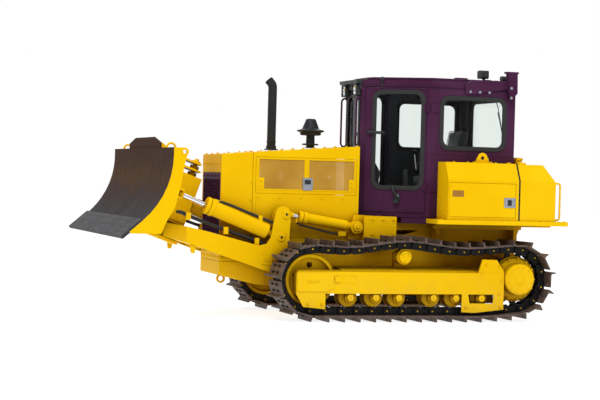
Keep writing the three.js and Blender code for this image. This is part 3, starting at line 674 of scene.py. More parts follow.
def makeBrownPlate():
    # A blank anodised plate, riveted on: brushed, with a dull bronze tone.
    material, tree, shader, place = newFinish("anodisedPlate", "yellow_paint", Metallic=0.4)
    brushed = noise(tree, stripes(tree, place, (1, 1, 30)), 40, 4)
    tone = shade(tree, ramp(tree, brushed, 0.3, 0.7), linear("#9A6A22"), linear("#B07C2E"))
    wire(tree, shader, tone, ramp(tree, brushed, 0.3, 0.7, 0.35, 0.5))
    return material


makeCamera()
makeLight()
yellow, purple = (makeEnamel(name, enamels[name]) for name in enamels)
bladeSteel = makeBladeSteel()
edgeSteel, shoeSteel, linkSteel, casting, heatPaint, zinc, coreMetal = (
    makeSteel(name, steels[name]) for name in steels)
chrome = makeChrome()
rubber, plastic, vinyl, lining, gapBlack = (makePlastic(name, plastics[name])
                                           for name in plastics)
glass = makeGlass("safetyGlass", "#F2F6F4", 0.02)
lampGlass = makeGlass("lampLens", "#F4F6F6", 0.08)
meshSheet = makeMeshSheet()
brownPlate = makeBrownPlate()
print("bulldozer: camera, light and finishes made")


floor = {"half": 60, "grey": 0.3, "glow": 0.85}


def makeFloor():
    # A matt studio floor that glows a little, so that it stays white around the machine.
    half, grey = floor["half"], floor["grey"]
    corners = [(-half, -half, 0), (half, -half, 0), (half, half, 0), (-half, half, 0)]
    sheet = newObject("floor", meshOf("floor", Form().add(corners, [[0, 1, 2, 3]])))
    paint = bpy.data.materials.new("paleFloor")
    paint.use_nodes = True
    surface = paint.node_tree.nodes["Principled BSDF"]
    for key, value in {"Base Color": (grey, grey, grey, 1), "Roughness": 0.9,
                       "Specular IOR Level": 0.0, "Emission Color": (1, 1, 1, 1),
                       "Emission Strength": floor["glow"]}.items():
        surface.inputs[key].default_value = value
    sheet.data.materials.append(paint)


makeFloor()
glassNodes = ["door_glass_left", "door_glass_right", "side_glass_left", "side_glass_right",
              "windshield", "rear_glass"]
for node in glassNodes:
    pane = frame["nodes"][node]
    pane.data.materials.clear()
    pane.data.materials.append(glass)

plates = {  # CAD shapes kept as they are, with broken edges
    "main_frame": yellow, "nose_guard": yellow, "radiator_mask": yellow, "hood": yellow,
    "engine_door_left": yellow, "engine_door_right": yellow, "fuel_tank": yellow,
    "fender_box_left": yellow, "fender_box_right": yellow, "battery_box_door": yellow,
    "track_frame_left": yellow, "track_frame_right": yellow, "c_frame": yellow,
    "blade_carrier": yellow, "mouldboard": yellow, "cab_shell": purple, "cab_door_left": purple,
    "cab_door_right": purple, "cab_duct_left": purple, "cab_duct_right": purple,
    "spill_guard": bladeSteel, "dashboard": plastic, "seat_pedestal": plastic,
    "engine_block": casting, "transmission_case": casting, "radiator_core": coreMetal,
}


cab = {"front": 1.870, "frontHalf": 0.300, "corner": 1.100, "half": 0.780, "rear": -0.050,
       "doorGlass": (0.17, 0.90, 1.640, 2.890), "sideGlass": (0.080, 0.980, 2.160, 2.830),
       "frontGlass": (-0.235, 0.235, 1.900, 2.850), "rearGlass": (-0.600, 0.600, 2.150, 2.850),
       "seal": 0.045, "sealOut": 0.012, "round": 0.085}


def insideCab(place):
    # True for a face on the inner side of the walls, the roof and the doors.
    x, y, z = place.x, abs(place.y), place.z
    slantedWall = 0.529 * (cab["front"] - x) + 0.8486 * (cab["frontHalf"] - y)
    depth = min(cab["half"] - y, x - cab["rear"], cab["front"] - x, slantedWall)
    return depth > 0.026 and 1.31 < z < 3.03


for node, finish in plates.items():
    inner = lining if node in ("cab_shell", "cab_door_left", "cab_door_right") else None
    dress(node, finish, inner, insideCab)
print("bulldozer: plates dressed")


# Crawler tracks
track = {
    "shoes": 39, "width": 0.5, "thick": 0.015, "grouser": 0.060, "pitchRadius": 0.380,
    "pinRadius": 0.011, "bushRadius": 0.033, "linkGap": 0.048, "linkThick": 0.021, "linkHalf": 0.05,
    "idler": (2.732, 0.505), "sprocket": (0.0, 0.540), "carrier": (1.525, 0.805),
    "rollers": [0.5, 0.847, 1.15, 1.61, 1.913, 2.246], "rollerZ": 0.298,
}


def evenly(path, count):
    # The given number of points along a closed path, the same distance apart.
    runs = [0.0]
    n = len(path)
    for i in range(n):
        runs.append(runs[-1] + (path[(i + 1) % n] - path[i]).length)
    points, k = [], 0
    for i in range(count):
        target = runs[-1] * i / count
        while runs[k + 1] < target:
            k += 1
        share = (target - runs[k]) / (runs[k + 1] - runs[k])
        points.append(path[k % n].lerp(path[(k + 1) % n], share))
    return points


def bulge(points, steps=12):
    # A smooth curve through the points.
    result = []
    ends = [points[0] * 2 - points[1]] + points + [points[-1] * 2 - points[-2]]
    for a, b, c, d in zip(ends, ends[1:], ends[2:], ends[3:]):
        for i in range(steps):
            t = i / steps
            result.append(0.5 * (b * 2 + (c - a) * t + (a * 2 - b * 5 + c * 4 - d) * t * t
                                 + (b * 3 - a - c * 3 + d) * t ** 3))
    return result + [points[-1]]


def chainPins():
    radius = track["pitchRadius"]
    idler, sprocket, carrier = (Vector(track[k]) for k in ("idler", "sprocket", "carrier"))

    def arc(centre, start, end):
        return [centre + Vector((math.cos(t), math.sin(t))) * radius
                for t in (start + (end - start) * i / 40 for i in range(41))]
    front = arc(idler, -math.pi / 2, math.pi / 2)
    top = bulge([front[-1], Vector((2.2, 0.868)), carrier + Vector((0, 0.143)),
                 Vector((0.78, 0.872)), sprocket + Vector((0, radius))])
    rear = arc(sprocket, math.pi / 2, 1.5 * math.pi)
    return evenly(front + top[1:-1] + rear + [Vector((0.48, idler.y - radius))], track["shoes"])


def makeChain(side):
    sign = sides[side]
    node = "track_chain_" + side
    body = "chassis"
    pins = chainPins()
    middleY = trackY * sign
    shoes, links, heads, shoeBolts = Form(), Form(), Form(), Form()
    half, thick, grouser = track["width"] / 2, track["thick"], track["grouser"]
    for i, pin in enumerate(pins):
        nextPin = pins[(i + 1) % len(pins)]
        along = (nextPin - pin).normalized()
        out = Vector((along.y, -along.x))
        run = (nextPin - pin).length

        def at(s, d):
            p = pin + along * s + out * d
            return (p.x, p.y)
        base, face = track["linkHalf"] - 0.004, track["linkHalf"] + thick
        outline = [at(-0.004, base - 0.002), at(0.03, base), at(run - 0.03, base),
                   at(run - 0.012, base - 0.004), at(run - 0.006, face - 0.006),
                   at(run - 0.022, face), at(0.034, face), at(0.024, face + 0.006),
                   at(0.016, face + grouser - 0.004), at(0.012, face + grouser),
                   at(0.003, face + grouser), at(-0.001, face + grouser - 0.003),
                   at(-0.005, face)]
        prism(shoes, outline[::-1], middleY - half, middleY + half)
        for offset in (-0.105, -0.06, 0.06, 0.105):
            for s in (0.07, 0.15):
                x, z = at(s, face)
                bolt(shoeBolts, spot(x, middleY + offset, z), (out.x, 0, out.y), 0.026)
        inner, plate = track["linkGap"], track["linkThick"]
        for hand in (-1, 1):
            halves = ((-0.045, run * 0.52, inner), (run * 0.48, run + 0.045, inner + plate))
            for s0, s1, offset in halves:
                low, high = sorted((middleY + hand * offset, middleY + hand * (offset + plate)))
                waist = 0.036
                link = [at(s0, -0.02), at(s0 + 0.02, -0.046), at(s1 - 0.02, -0.046), at(s1, -0.02),
                         at(s1, 0.02), at(s1 - 0.02, waist), at(s1 - 0.02, base), at(s0 + 0.02, base),
                         at(s0 + 0.02, waist), at(s0, 0.02)]
                prism(links, link, low, high)
            pinAt = [middleY + hand * (inner + 0.01), middleY + hand * (inner + 2 * plate + 0.006)]
            rod(heads, spot(pin.x, pinAt[0], pin.y), spot(pin.x, pinAt[1], pin.y),
                track["pinRadius"], 14, 0.003)
        rod(links, spot(pin.x, middleY - 0.05, pin.y), spot(pin.x, middleY + 0.05, pin.y),
            track["bushRadius"], 16)
    build("shoes_" + side, shoes, shoeSteel, body, bevel=0.0025, stands=(node,))
    build("links_" + side, links, linkSteel, body, bevel=0.004)
    build("pin_ends_" + side, heads, yellow, body)
    build("shoe_bolts_" + side, shoeBolts, linkSteel, body)


def makeSprocket(side):
    sign = sides[side]
    x, z = track["sprocket"]
    body = "sprocket_" + side
    gear = Form()
    teeth = 13
    outline = []
    for i in range(teeth):
        for share, radius in ((0.0, 0.290), (0.2, 0.286), (0.4, 0.290), (0.52, 0.318), (0.6, 0.336),
                              (0.7, 0.342), (0.8, 0.336), (0.88, 0.318)):
            turn = 2 * math.pi * (i + share) / teeth
            outline.append((x + radius * math.cos(turn), z + radius * math.sin(turn)))
    sidePlate(gear, outline, sign, trackY - 0.028, trackY + 0.028)
    build("sprocket_teeth_" + side, gear, linkSteel, body, bevel=0.004)
    hub = Form()
    profile = [(0, 0.885), (0.262, 0.885), (0.262, 0.955), (0.288, 0.962), (0.288, 0.985),
               (0.276, 0.99), (0.262, 1.02), (0.236, 1.034), (0.206, 1.040), (0.199, 1.046),
               (0.197, 1.06), (0.197, 1.168), (0.193, 1.178), (0.182, 1.187), (0.168, 1.190),
               (0.155, 1.188), (0.15, 1.184), (0.06, 1.184), (0.055, 1.19), (0.05, 1.196), (0, 1.196)]
    turned(hub, profile, spot(x, 0, z), (0, sign, 0), 64)
    for count, radius, depth, headSize in ((13, 0.255, 1.026, 0.030), (12, 0.166, 1.188, 0.02)):
        for place in circle(x, sign * (depth - 0.002), z, radius, count, 0.5):
            bolt(hub, place, (0, sign, 0), headSize)
    build("final_drive_" + side, hub, yellow, body, bevel=0.002, stands=("sprocket_" + side,))


def carve(form, cutters):
    # Cuts one closed shape out of another and gives the result as a new form.
    objects = []
    for part in [form] + cutters:
        mesh = meshOf("cut", part)
        mend(mesh)
        objects.append(newObject("cut", mesh))
    for cutter in objects[1:]:
        tool = objects[0].modifiers.new("cut", "BOOLEAN")
        tool.operation, tool.solver, tool.object = "DIFFERENCE", "EXACT", cutter
    bpy.context.view_layer.update()
    ready = objects[0].evaluated_get(bpy.context.evaluated_depsgraph_get()).to_mesh()
    result = Form().add([v.co for v in ready.vertices], [list(p.vertices) for p in ready.polygons])
    for item in objects:
        bpy.data.objects.remove(item)
    return result


def makeIdler(side):
    sign = sides[side]
    x, z = track["idler"]
    wheel = Form()
    profile = [(0, 0.843), (0.058, 0.843), (0.06, 0.845), (0.064, 0.92), (0.075, 0.928), (0.26, 0.928),
               (0.272, 0.92), (0.276, 0.872), (0.28, 0.868), (0.313, 0.868), (0.316, 0.871),
               (0.316, 0.905), (0.328, 0.909), (0.328, 0.977), (0.316, 0.981), (0.316, 1.015),
               (0.313, 1.018), (0.28, 1.018), (0.276, 1.014), (0.272, 0.97), (0.26, 0.962),
               (0.10, 0.962), (0.09, 0.97), (0.064, 0.978), (0.06, 1.035), (0.058, 1.037), (0, 1.037)]
    turned(wheel, profile, spot(x, 0, z), (0, sign, 0), 72)
    holes = [turned(Form(), [(0, 0.9), (0.038, 0.9), (0.038, 0.99), (0, 0.99)], centre,
                    (0, sign, 0), 20) for centre in circle(x, 0, z, 0.185, 5, 1.25)]
    build("idler_wheel_" + side, carve(wheel, holes), yellow, "idler_" + side,
          stands=("idler_" + side,))


def makeRollers(side):
    sign = sides[side]
    form = Form()
    z = track["rollerZ"]
    for x in track["rollers"]:
        profile = [(0, 0.852), (0.112, 0.852), (0.119, 0.856), (0.119, 0.868), (0.093, 0.872),
                   (0.093, 1.012), (0.119, 1.016), (0.119, 1.028), (0.112, 1.034), (0.085, 1.036),
                   (0.062, 1.05), (0.06, 1.094), (0.056, 1.098), (0.05, 1.100), (0, 1.100)]
        turned(form, profile, spot(x, 0, z), (0, sign, 0), 40)
        bolt(form, spot(x, sign * 1.096, z), (0, sign, 0), 0.084)
        rod(form, spot(x, sign * 1.14, z), spot(x, sign * 1.153, z), 0.012, 12, 0.002)
    build("rollers_" + side, form, yellow, "chassis", bevel=0.002, stands=("track_rollers_" + side,))
    carrier = Form()
    x, z = track["carrier"]
    profile = [(0, 0.862), (0.084, 0.862), (0.087, 0.866), (0.087, 1.036), (0.098, 1.044),
               (0.098, 1.06), (0.094, 1.064), (0.08, 1.066), (0.078, 1.094), (0.072, 1.1), (0, 1.1)]
    turned(carrier, profile, spot(x, 0, z), (0, sign, 0), 48)
    for place in circle(x, sign * 1.098, z, 0.05, 3, 0.25):
        bolt(carrier, place, (0, sign, 0), 0.018)
    build("carrier_roller_cap_" + side, carrier, yellow, "carrier_roller_" + side,
          bevel=0.0015, stands=("carrier_roller_" + side,))


for side in sides:
    makeChain(side)
    makeSprocket(side)
    makeIdler(side)
    makeRollers(side)
print("bulldozer: tracks made")


# Hydraulic cylinders
nose = {"x": 4.275, "z": 1.060, "lean": math.radians(20)}


def nosePoint(u, y, w):
    # u runs forward along the tilt pin and w up along the nose pin.
    lean = nose["lean"]
    return spot(nose["x"] + u * math.cos(lean) - w * math.sin(lean), y,
                nose["z"] + u * math.sin(lean) + w * math.cos(lean))


lift = {"from": (2.008, 1.147), "to": (2.945, 1.293), "y": 0.590, "start": 0.120, "end": 0.745,
        "radius": 0.064, "gland": 0.076, "eye": 0.080, "eyeHalf": 0.052, "bore": 0.042,
        "rod": 0.0275, "rodStart": 0.17, "rodEye": 0.056, "rodHalf": 0.036, "rodBore": 0.038,
        "bolts": 0.014}
angle = {"from": (3.005, 1.009), "y": 0.590, "start": 0.178, "end": 1.010, "radius": 0.095,
         "gland": 0.108, "eye": 0.062, "eyeHalf": 0.034, "bore": 0.030, "rod": 0.028,
         "rodStart": 0.47, "rodEye": 0.046, "rodHalf": 0.030, "rodBore": 0.020, "bolts": 0.018}


def makeBarrel(name, body, start, line, look):
    # A welded barrel with a ring eye and a bolted gland. Its CAD node has the name of its body.
    shell = Form()
    side = leftward if abs(line.y) < 0.5 else noseAhead
    half = look["eyeHalf"]
    pipe(shell, start - side * half, start + side * half, look["eye"], look["bore"], 36)
    neck = look["eye"] * 0.9
    radius, gland = look["radius"], look["gland"]
    begin, end, wiper = look["start"], look["end"], look["rod"]
    profile = [(look["eye"] * 0.55, neck), (look["eye"] * 0.6, begin - 0.01), (radius * 0.8, begin),
               (radius - 0.004, begin + 0.006), (radius, begin + 0.012), (radius, end - 0.094),
               (radius + 0.004, end - 0.09), (gland - 0.003, end - 0.086), (gland, end - 0.082),
               (gland, end - 0.03), (radius, end - 0.028), (radius, end - 0.022), (gland, end - 0.02),
               (gland, end + 0.021), (gland - 0.004, end + 0.025), (wiper + 0.012, end + 0.025),
               (wiper + 0.010, end + 0.014), (wiper + 0.002, end + 0.014), (wiper + 0.002, end - 0.05)]
    disc(shell, start, line, profile, 40)
    first, second = across(line)[1:]
    reach = (gland + wiper + 0.010) / 2
    for i in range(8):
        turn = 2 * math.pi * (i + 0.5) / 8
        spoke = (first * math.cos(turn) + second * math.sin(turn)) * reach
        bolt(shell, start + line * (end + 0.024) + spoke, line, look["bolts"])
    build(name, shell, yellow, body, bevel=0.0015, stands=(body,))


def makeRod(name, body, start, line, look, run, pinAxis):
    ground = Form()
    rod(ground, start + line * look["rodStart"], start + line * (run - look["rodEye"] * 0.6),
        look["rod"], 32, 0.002)
    build(name, ground, chrome, body, stands=(body,))
    eye = Form()
    end = start + line * run
    pipe(eye, end - pinAxis * look["rodHalf"], end + pinAxis * look["rodHalf"], look["rodEye"],
         look["rodBore"], 36)
    turned(eye, [(look["rod"] + 0.001, run - look["rodEye"] - 0.05),
                 (look["rod"] + 0.012, run - look["rodEye"] - 0.046),
                 (look["rod"] + 0.014, run - look["rodEye"] * 0.8),
                 (look["rod"] * 0.9, run - look["rodEye"] * 0.72)], start, line, 32)
    build(name + "_eye", eye, yellow, body, bevel=0.001)


def makeCylinder(kind, tail, look, start, end, pinAxis):
    line = (end - start).normalized()
    makeBarrel(kind + "_cylinder" + tail, kind + "_barrel" + tail, start, line, look)
    makeRod(kind + "_piston_rod" + tail, kind + "_rod" + tail, start, line, look,
            (end - start).length, pinAxis)


leftward = Vector((0, 1, 0))
noseUp = Vector((-math.sin(nose["lean"]), 0, math.cos(nose["lean"])))
noseAhead = Vector((math.cos(nose["lean"]), 0, math.sin(nose["lean"])))
for side, sign in sides.items():
    for kind, look in (("lift", lift), ("angle", angle)):
        start = spot(look["from"][0], sign * look["y"], look["from"][1])
        if kind == "lift":
            end, pinAxis = spot(look["to"][0], sign * look["y"], look["to"][1]), leftward
        else:
            end, pinAxis = nosePoint(0.220, sign * look["y"], 0.424), noseUp
        makeCylinder(kind, "_" + side, look, start, end, pinAxis)

tilt = {"u": 0.430, "w": 0.820, "barrelY": -0.330, "rodY": 0.350, "start": 0.05, "end": 0.420,
        "radius": 0.046, "gland": 0.054, "eye": 0.048, "eyeHalf": 0.026, "bore": 0.026,
        "rod": 0.020, "rodStart": 0.19, "rodEye": 0.052, "rodHalf": 0.024, "rodBore": 0.033,
        "bolts": 0.011}
makeCylinder("tilt", "", tilt, nosePoint(tilt["u"], tilt["barrelY"], tilt["w"]),
             nosePoint(tilt["u"], tilt["rodY"], tilt["w"]), noseAhead)
print("bulldozer: cylinders made")


# Blade
blade = {"half": 1.672, "x": 5.638, "z": 1.971, "radius": 1.0, "turn": math.radians(49.3),
         "top": 2.065, "foot": 0.195, "lean": math.radians(40.7), "seams": [-1.14, 0.0, 1.14]}


def faceCurve(inset, steps=36):
    radius = blade["radius"] + inset
    points = [(blade["x"] - radius, blade["top"])]
    for i in range(steps + 1):
        turn = blade["turn"] * i / steps
        points.append((blade["x"] - radius * math.cos(turn), blade["z"] - radius * math.sin(turn)))
    return points


def makeBladeFace():
    run = (math.cos(blade["lean"]), -math.sin(blade["lean"]))
    front, back = faceCurve(-0.0035), faceCurve(-0.0005)
    for line in (front, back):
        x, z = line[-1]
        line.append((x + run[0] * blade["foot"] * 0.2, z + run[1] * blade["foot"] * 0.2))
    form = Form()
    edges = [-blade["half"]] + blade["seams"] + [blade["half"]]
    for low, high in zip(edges, edges[1:]):
        prism(form, front + back[::-1], low + 0.0095, high - 0.0095)
    build("blade_face", form, bladeSteel, "blade", bevel=0.0008)
    joints = Form()
    for y in blade["seams"]:
        prism(joints, faceCurve(-0.0026) + faceCurve(-0.0002)[::-1], y - 0.010, y + 0.010)
    build("blade_seams", joints, gapBlack, "blade")


def makeEdge():
    run = Vector((math.cos(blade["lean"]), -math.sin(blade["lean"])))
    out = Vector((-run.y, run.x))
    start = Vector(faceCurve(0)[-1])

    def at(s, d):
        p = start + run * s + out * d
        return (p.x, p.y)
    form = Form()
    edges = [-blade["half"], -1.14, -0.38, 0.38, 1.14, blade["half"]]
    for low, high in zip(edges, edges[1:]):
        prism(form, [at(-0.006, 0.0006), at(0.206, 0.0006), at(0.206, -0.014), at(0.312, -0.014),
                     at(0.318, 0.002), at(0.306, 0.025), at(-0.006, 0.025)],
              low + 0.0012, high - 0.0012)
    build("edge_plates", form, edgeSteel, "blade", bevel=0.002, stands=("cutting_edge",))
    heads = Form()
    count = 22
    for i in range(count):
        y = -blade["half"] + 0.075 + (2 * blade["half"] - 0.15) * i / (count - 1)
        for x, z in (at(0.055, 0.0245), at(0.15, 0.0245)):
            disc(heads, spot(x, y, z), (out.x, 0, out.y), [(0.019, 0), (0.019, 0.0015), (0.015, 0.0028)],
                 20)
    build("edge_bolts", heads, linkSteel, "blade")


makeBladeFace()
makeEdge()
print("bulldozer: blade made")


# Engine air and exhaust
exhaust = {"x": 2.970, "foot": 2.112, "bend": 2.885, "bendRadius": 0.09, "lean": math.radians(42),
           "radius": 0.056, "wall": 0.004, "tip": 0.05}


def makeExhaust():
    x, bend, lean = exhaust["x"], exhaust["bend"], exhaust["lean"]
    radius = exhaust["bendRadius"]
    path = [spot(x, 0, exhaust["foot"]), spot(x, 0, bend)]
    path += [spot(x + radius * (1 - math.cos(lean * i / 8)), 0, bend + radius * math.sin(lean * i / 8))
             for i in range(1, 9)]
    tip = path[-1] + Vector((math.sin(lean), 0, math.cos(lean))) * exhaust["tip"]
    path.append(tip)
    outer = tube(Form(), path, exhaust["radius"], 36)
    bore = [path[0] + Vector((0, 0, 0.4))] + path[1:-1] + [tip + (tip - path[-2]).normalized() * 0.05]
    inner = tube(Form(), bore, exhaust["radius"] - exhaust["wall"], 36)
    form = carve(outer, [inner])
    turned(form, [(0, 2.092), (0.09, 2.092), (0.09, 2.104), (0.066, 2.108), (0.064, 2.15),
                  (0.057, 2.152)], spot(x, 0, 0), (0, 0, 1), 40)
    turned(form, [(0.0565, 2.190), (0.061, 2.192), (0.061, 2.206), (0.0565, 2.208)],
           spot(x, 0, 0), (0, 0, 1), 40)
    build("exhaust_pipe", form, heatPaint, "chassis", bevel=0.0008, stands=("exhaust_stack",))


def makePrecleaner():
    form = Form()
    profile = [(0, 2.134), (0.062, 2.134), (0.062, 2.146), (0.052, 2.150), (0.052, 2.168),
               (0.104, 2.171), (0.107, 2.176), (0.107, 2.184), (0.104, 2.189), (0.056, 2.193),
               (0.054, 2.288), (0.06, 2.292), (0.122, 2.296), (0.128, 2.302), (0.130, 2.33),
               (0.150, 2.336), (0.172, 2.344), (0.176, 2.350), (0.176, 2.356), (0.170, 2.362),
               (0.118, 2.376), (0.108, 2.384), (0.086, 2.44), (0.066, 2.492), (0.06, 2.502),
               (0.05, 2.508), (0, 2.511)]
    turned(form, profile, spot(2.447, 0, 0), (0, 0, 1), 56)
    for foot in circle(2.447, 0, 2.302, 0.129, 18, flat=True):
        rod(form, foot, foot + Vector((0, 0, 0.03)), 0.005, 8)
    build("air_precleaner", form, heatPaint, "chassis", bevel=0.001, stands=("precleaner",))


makeExhaust()
makePrecleaner()


# Grille
grille = {"half": 0.424, "low": 0.801, "high": 1.789, "front": 3.740, "pitch": 0.085, "wire": 0.0085}


def makeGrille():
    half, low, high, front = (grille[k] for k in ("half", "low", "high", "front"))
    rim = Form()
    frameRing(rim, rectangle(-half, half, low, high),
              rectangle(0.03 - half, half - 0.03, low + 0.03, high - 0.085), front - 0.014,
              front - 0.002, inFront)
    build("grille_rim", rim, purple, "chassis", bevel=0.002, stands=("grille",))
    wires = Form()
    y0, y1, z0, z1 = 0.035 - half, half - 0.035, low + 0.035, high - 0.09
    tallness = z1 - z0
    for lean in (1, -1):  # two layers of slanting wires, cut off at the rim
        x = front - 0.009 + lean * 0.002
        for i in range(int((y1 - y0 + tallness) / grille["pitch"]) + 1):
            ya, za = y0 - tallness + i * grille["pitch"], z0
            yb, zb = ya + tallness, z1
            if ya < y0:
                ya, za = y0, za + (y0 - ya)
            if yb > y1:
                yb, zb = y1, zb - (yb - y1)
            if zb - za > 0.01:
                rod(wires, spot(x, lean * ya, za), spot(x, lean * yb, zb), grille["wire"], 8)
    build("grille_wires", wires, purple, "chassis")


makeGrille()


# Perforated windows of the engine doors
def makeDoorMesh(side):
    sign = sides[side]
    form = Form()
    y = sign * 0.449
    for x0, x1 in ((1.994, 2.608), (2.656, 3.260)):
        prism(form, rectangle(x0, x1, 1.596, 1.979), y - 0.001, y + 0.001)
    build("door_mesh_" + side, form, meshSheet, "engine_door_" + side)


for side in sides:
    makeDoorMesh(side)


# Lamps on the cab
visor = {"outline": [(1.871, 2.990), (1.950, 2.972), (1.962, 3.020), (1.871, 3.034)], "half": 0.330,
         "lamps": (-0.205, 0.205), "lampHalf": 0.075, "lampLow": 2.815, "lampHigh": 2.975}


def makeVisor():
    def around(y, inset, radius):
        half = visor["lampHalf"] - inset
        return rounded(rectangle(y - half, y + half, visor["lampLow"] + inset,
                                 visor["lampHigh"] - inset), radius)
    cases, lens, dish = Form(), Form(), Form()
    prism(cases, visor["outline"], -visor["half"], visor["half"])
    bar(cases, (1.871, -0.30, 2.90), (1.905, 0.30, 3.0))
    bowl = [(0.012, 0.0), (0.03, 0.006), (0.052, 0.022), (0.06, 0.04), (0.058, 0.04), (0.05, 0.024),
            (0.028, 0.008), (0.012, 0.002)]
    for y in visor["lamps"]:
        frameRing(cases, around(y, 0, 0.02), around(y, 0.009, 0.014), 1.885, 1.948, inFront)
        prism(cases, around(y, 0, 0.02), 1.880, 1.892, inFront)
        prism(lens, around(y, 0.0095, 0.0135), 1.936, 1.940, inFront)
        turned(dish, bowl, spot(1.892, y, 2.895), (1, 0, 0), 32)
    build("visor_and_lamp_cases", cases, plastic, "chassis", bevel=0.002, stands=("lamp_visor",))
    build("lamp_lenses", lens, lampGlass, "chassis")
    build("lamp_dishes", dish, chrome, "chassis")


makeVisor()


# Lever
lever = {"foot": (0.820, -0.395, 1.906), "knob": (0.852, -0.395, 2.130), "way": (0.03, 0, 0.214)}


def makeLever():
    stick = disc(Form(), spot(*lever["foot"]), lever["way"], [(0.011, 0), (0.010, 0.2)], 20)
    build("lever_stick", stick, chrome, "control_lever")
    pear = [(0.031 * math.cos(t) * (1 if t > 0 else 0.82), 0.034 * math.sin(t))
            for t in (math.radians(a) for a in range(-75, 90, 15))]
    knob = turned(Form(), [(0, -0.034)] + pear + [(0, 0.034)], spot(*lever["knob"]), lever["way"], 24)
    build("lever_knob", knob, plastic, "control_lever", stands=("control_lever",))


makeLever()


# Seat
seat = {"voxel": 0.008, "pressure": 4.0, "frames": 20, "channels": (0.0, 0.155), "dent": 0.006,
        "channelWidth": 0.007, "swell": 0.010, "fill": 0.8}


def padMesh(name, low, high, slope):
    # A block that leans back by slope, with its corners cut.
    mesh = meshOf(name, bar(Form(), low, high))
    work = bmesh.new()
    work.from_mesh(mesh)
    bmesh.ops.recalc_face_normals(work, faces=work.faces)
    bmesh.ops.bevel(work, geom=list(work.edges), offset=0.02, segments=2, profile=0.6,
                    affect="EDGES")
    for vertex in work.verts:
        vertex.co.x -= slope * (vertex.co.z - low[2])
    work.to_mesh(mesh)
    work.free()
    return newObject(name, mesh)


def applied(piece):
    # The mesh as its modifiers leave it.
    graph = bpy.context.evaluated_depsgraph_get()
    return bpy.data.meshes.new_from_object(piece.evaluated_get(graph))


def swell(piece, reach):
    # Foam pressed out by cloth simulation; no point moves further than reach.
    remesh = piece.modifiers.new("voxels", "REMESH")
    remesh.mode = "VOXEL"
    remesh.voxel_size = seat["voxel"]
    piece.data = applied(piece)
    piece.modifiers.clear()
    start = [vertex.co.copy() for vertex in piece.data.vertices]
    cloth = piece.modifiers.new("foam", "CLOTH")
    cloth.settings.use_pressure = True
    cloth.settings.uniform_pressure_force = seat["pressure"]
    cloth.settings.effector_weights.gravity = 0
    cloth.point_cache.frame_end = seat["frames"]
    scene = bpy.context.scene
    for number in range(1, seat["frames"] + 1):
        scene.frame_set(number)
    blown = applied(piece)
    piece.modifiers.clear()
    for vertex, first, last in zip(piece.data.vertices, start, blown.vertices):
        step = last.co - first
        vertex.co = first + step * min(1.0, reach / max(step.length, 1e-6))
    scene.frame_set(1)


def sew(piece, low, high, slope):
    # Sewn channels on the face that the driver meets.
    upright = slope > 0
    for vertex in piece.data.vertices:
        away = min(abs(abs(vertex.co.y) - channel) for channel in seat["channels"])
        dent = seat["dent"] * math.exp(-((away / seat["channelWidth"]) ** 2))
        lean = low[0] - slope * (vertex.co.z - low[2])
        if upright and vertex.co.x - lean > (high[0] - low[0]) * 0.8:
            vertex.co.x -= dent
        elif not upright and vertex.co.z > high[2] - 0.02:
            vertex.co.z -= dent
    finer = piece.modifiers.new("finer", "SUBSURF")
    finer.levels = finer.render_levels = 1


seatPads = {
    "seat_cushion_pad": ((0.460, -0.230, 1.708), (0.940, 0.230, 1.806), "seat_cushion", 0.0),
    "seat_back_pad": ((0.460, -0.220, 1.858), (0.540, 0.220, 2.417), "seat_back", 0.2),
}


def makeSeat():
    piping = Form()
    for name, (low, high, node, slope) in seatPads.items():
        near = tuple(spot(*low))
        far = tuple(spot(*high))
        pad = padMesh(name, low, high, slope)
        swell(pad, seat["swell"])
        sew(pad, near, far, slope)
        settle(pad, vinyl, "chassis", stands=(node,), sharp=80)
        grow = 0.003
        if slope:
            edge = rounded(rectangle(low[1] - grow, high[1] + grow, low[2] - grow, high[2] + grow), 0.03)
            path = [spot(high[0] + 0.001 - slope * (z - low[2]), y, z) for y, z in edge]
        else:
            edge = rounded(rectangle(low[0] - grow, high[0] + grow, low[1] - grow, high[1] + grow), 0.03)
            path = [spot(x, y, high[2] - 0.006) for x, y in edge]
        tube(piping, path, 0.005, 8, closed=True)
    build("seat_piping", piping, plastic, "chassis")


makeSeat()


# Cab fittings
doorRun = math.hypot(cab["front"] - cab["corner"], cab["half"] - cab["frontHalf"])


def doorPlace(sign):
    # Places points on the slanted door wall: run from the front corner, height, depth inward.
    alongX, alongY = (cab["corner"] - cab["front"]) / doorRun, (cab["half"] - cab["frontHalf"]) / doorRun

    def place(a, b, c):
        return spot(cab["front"] + alongX * a - alongY * c,
                    sign * (cab["frontHalf"] + alongY * a + alongX * c), b)
    return place


def outOf(place):
    return place(0, 0, -1) - place(0, 0, 0)


def sidePlace(sign, y):
    def place(a, b, c):
        return spot(a, sign * (y - c), b)
    return place


def endPlace(x, hand):
    def place(a, b, c):
        return spot(x - hand * c, a, b)
    return place


def makeWindow(name, opening, place, body):
    # Corner fillets of the opening, and the rubber seal that holds the glass.
    a0, a1, b0, b1 = opening
    seal, out, turn = cab["seal"], cab["sealOut"], cab["round"]

    def around(grow, radius):
        return rounded(rectangle(a0 - grow, a1 + grow, b0 - grow, b1 + grow), radius, 8)
    fill = Form()
    frameRing(fill, around(0.0006, 0.0005), around(-0.03, turn + 0.015), 0.0004, 0.0064, place)
    build(name + "_corners", fill, purple, body)
    rubberRing = Form()
    frameRing(rubberRing, around(out, turn + 0.045), around(-seal, turn), -0.011, -0.0003, place)
    build(name + "_seal", rubberRing, rubber, body, bevel=0.004, steps=3)
    inside = Form()
    frameRing(inside, around(-0.002, 0.01), around(-seal + 0.004, turn), 0.015, 0.024, place)
    build(name + "_inner_seal", inside, rubber, body, bevel=0.003)


def doorOpeningOf(t0, t1, z0, z1):
    return (t0 * doorRun, t1 * doorRun, z0, z1)


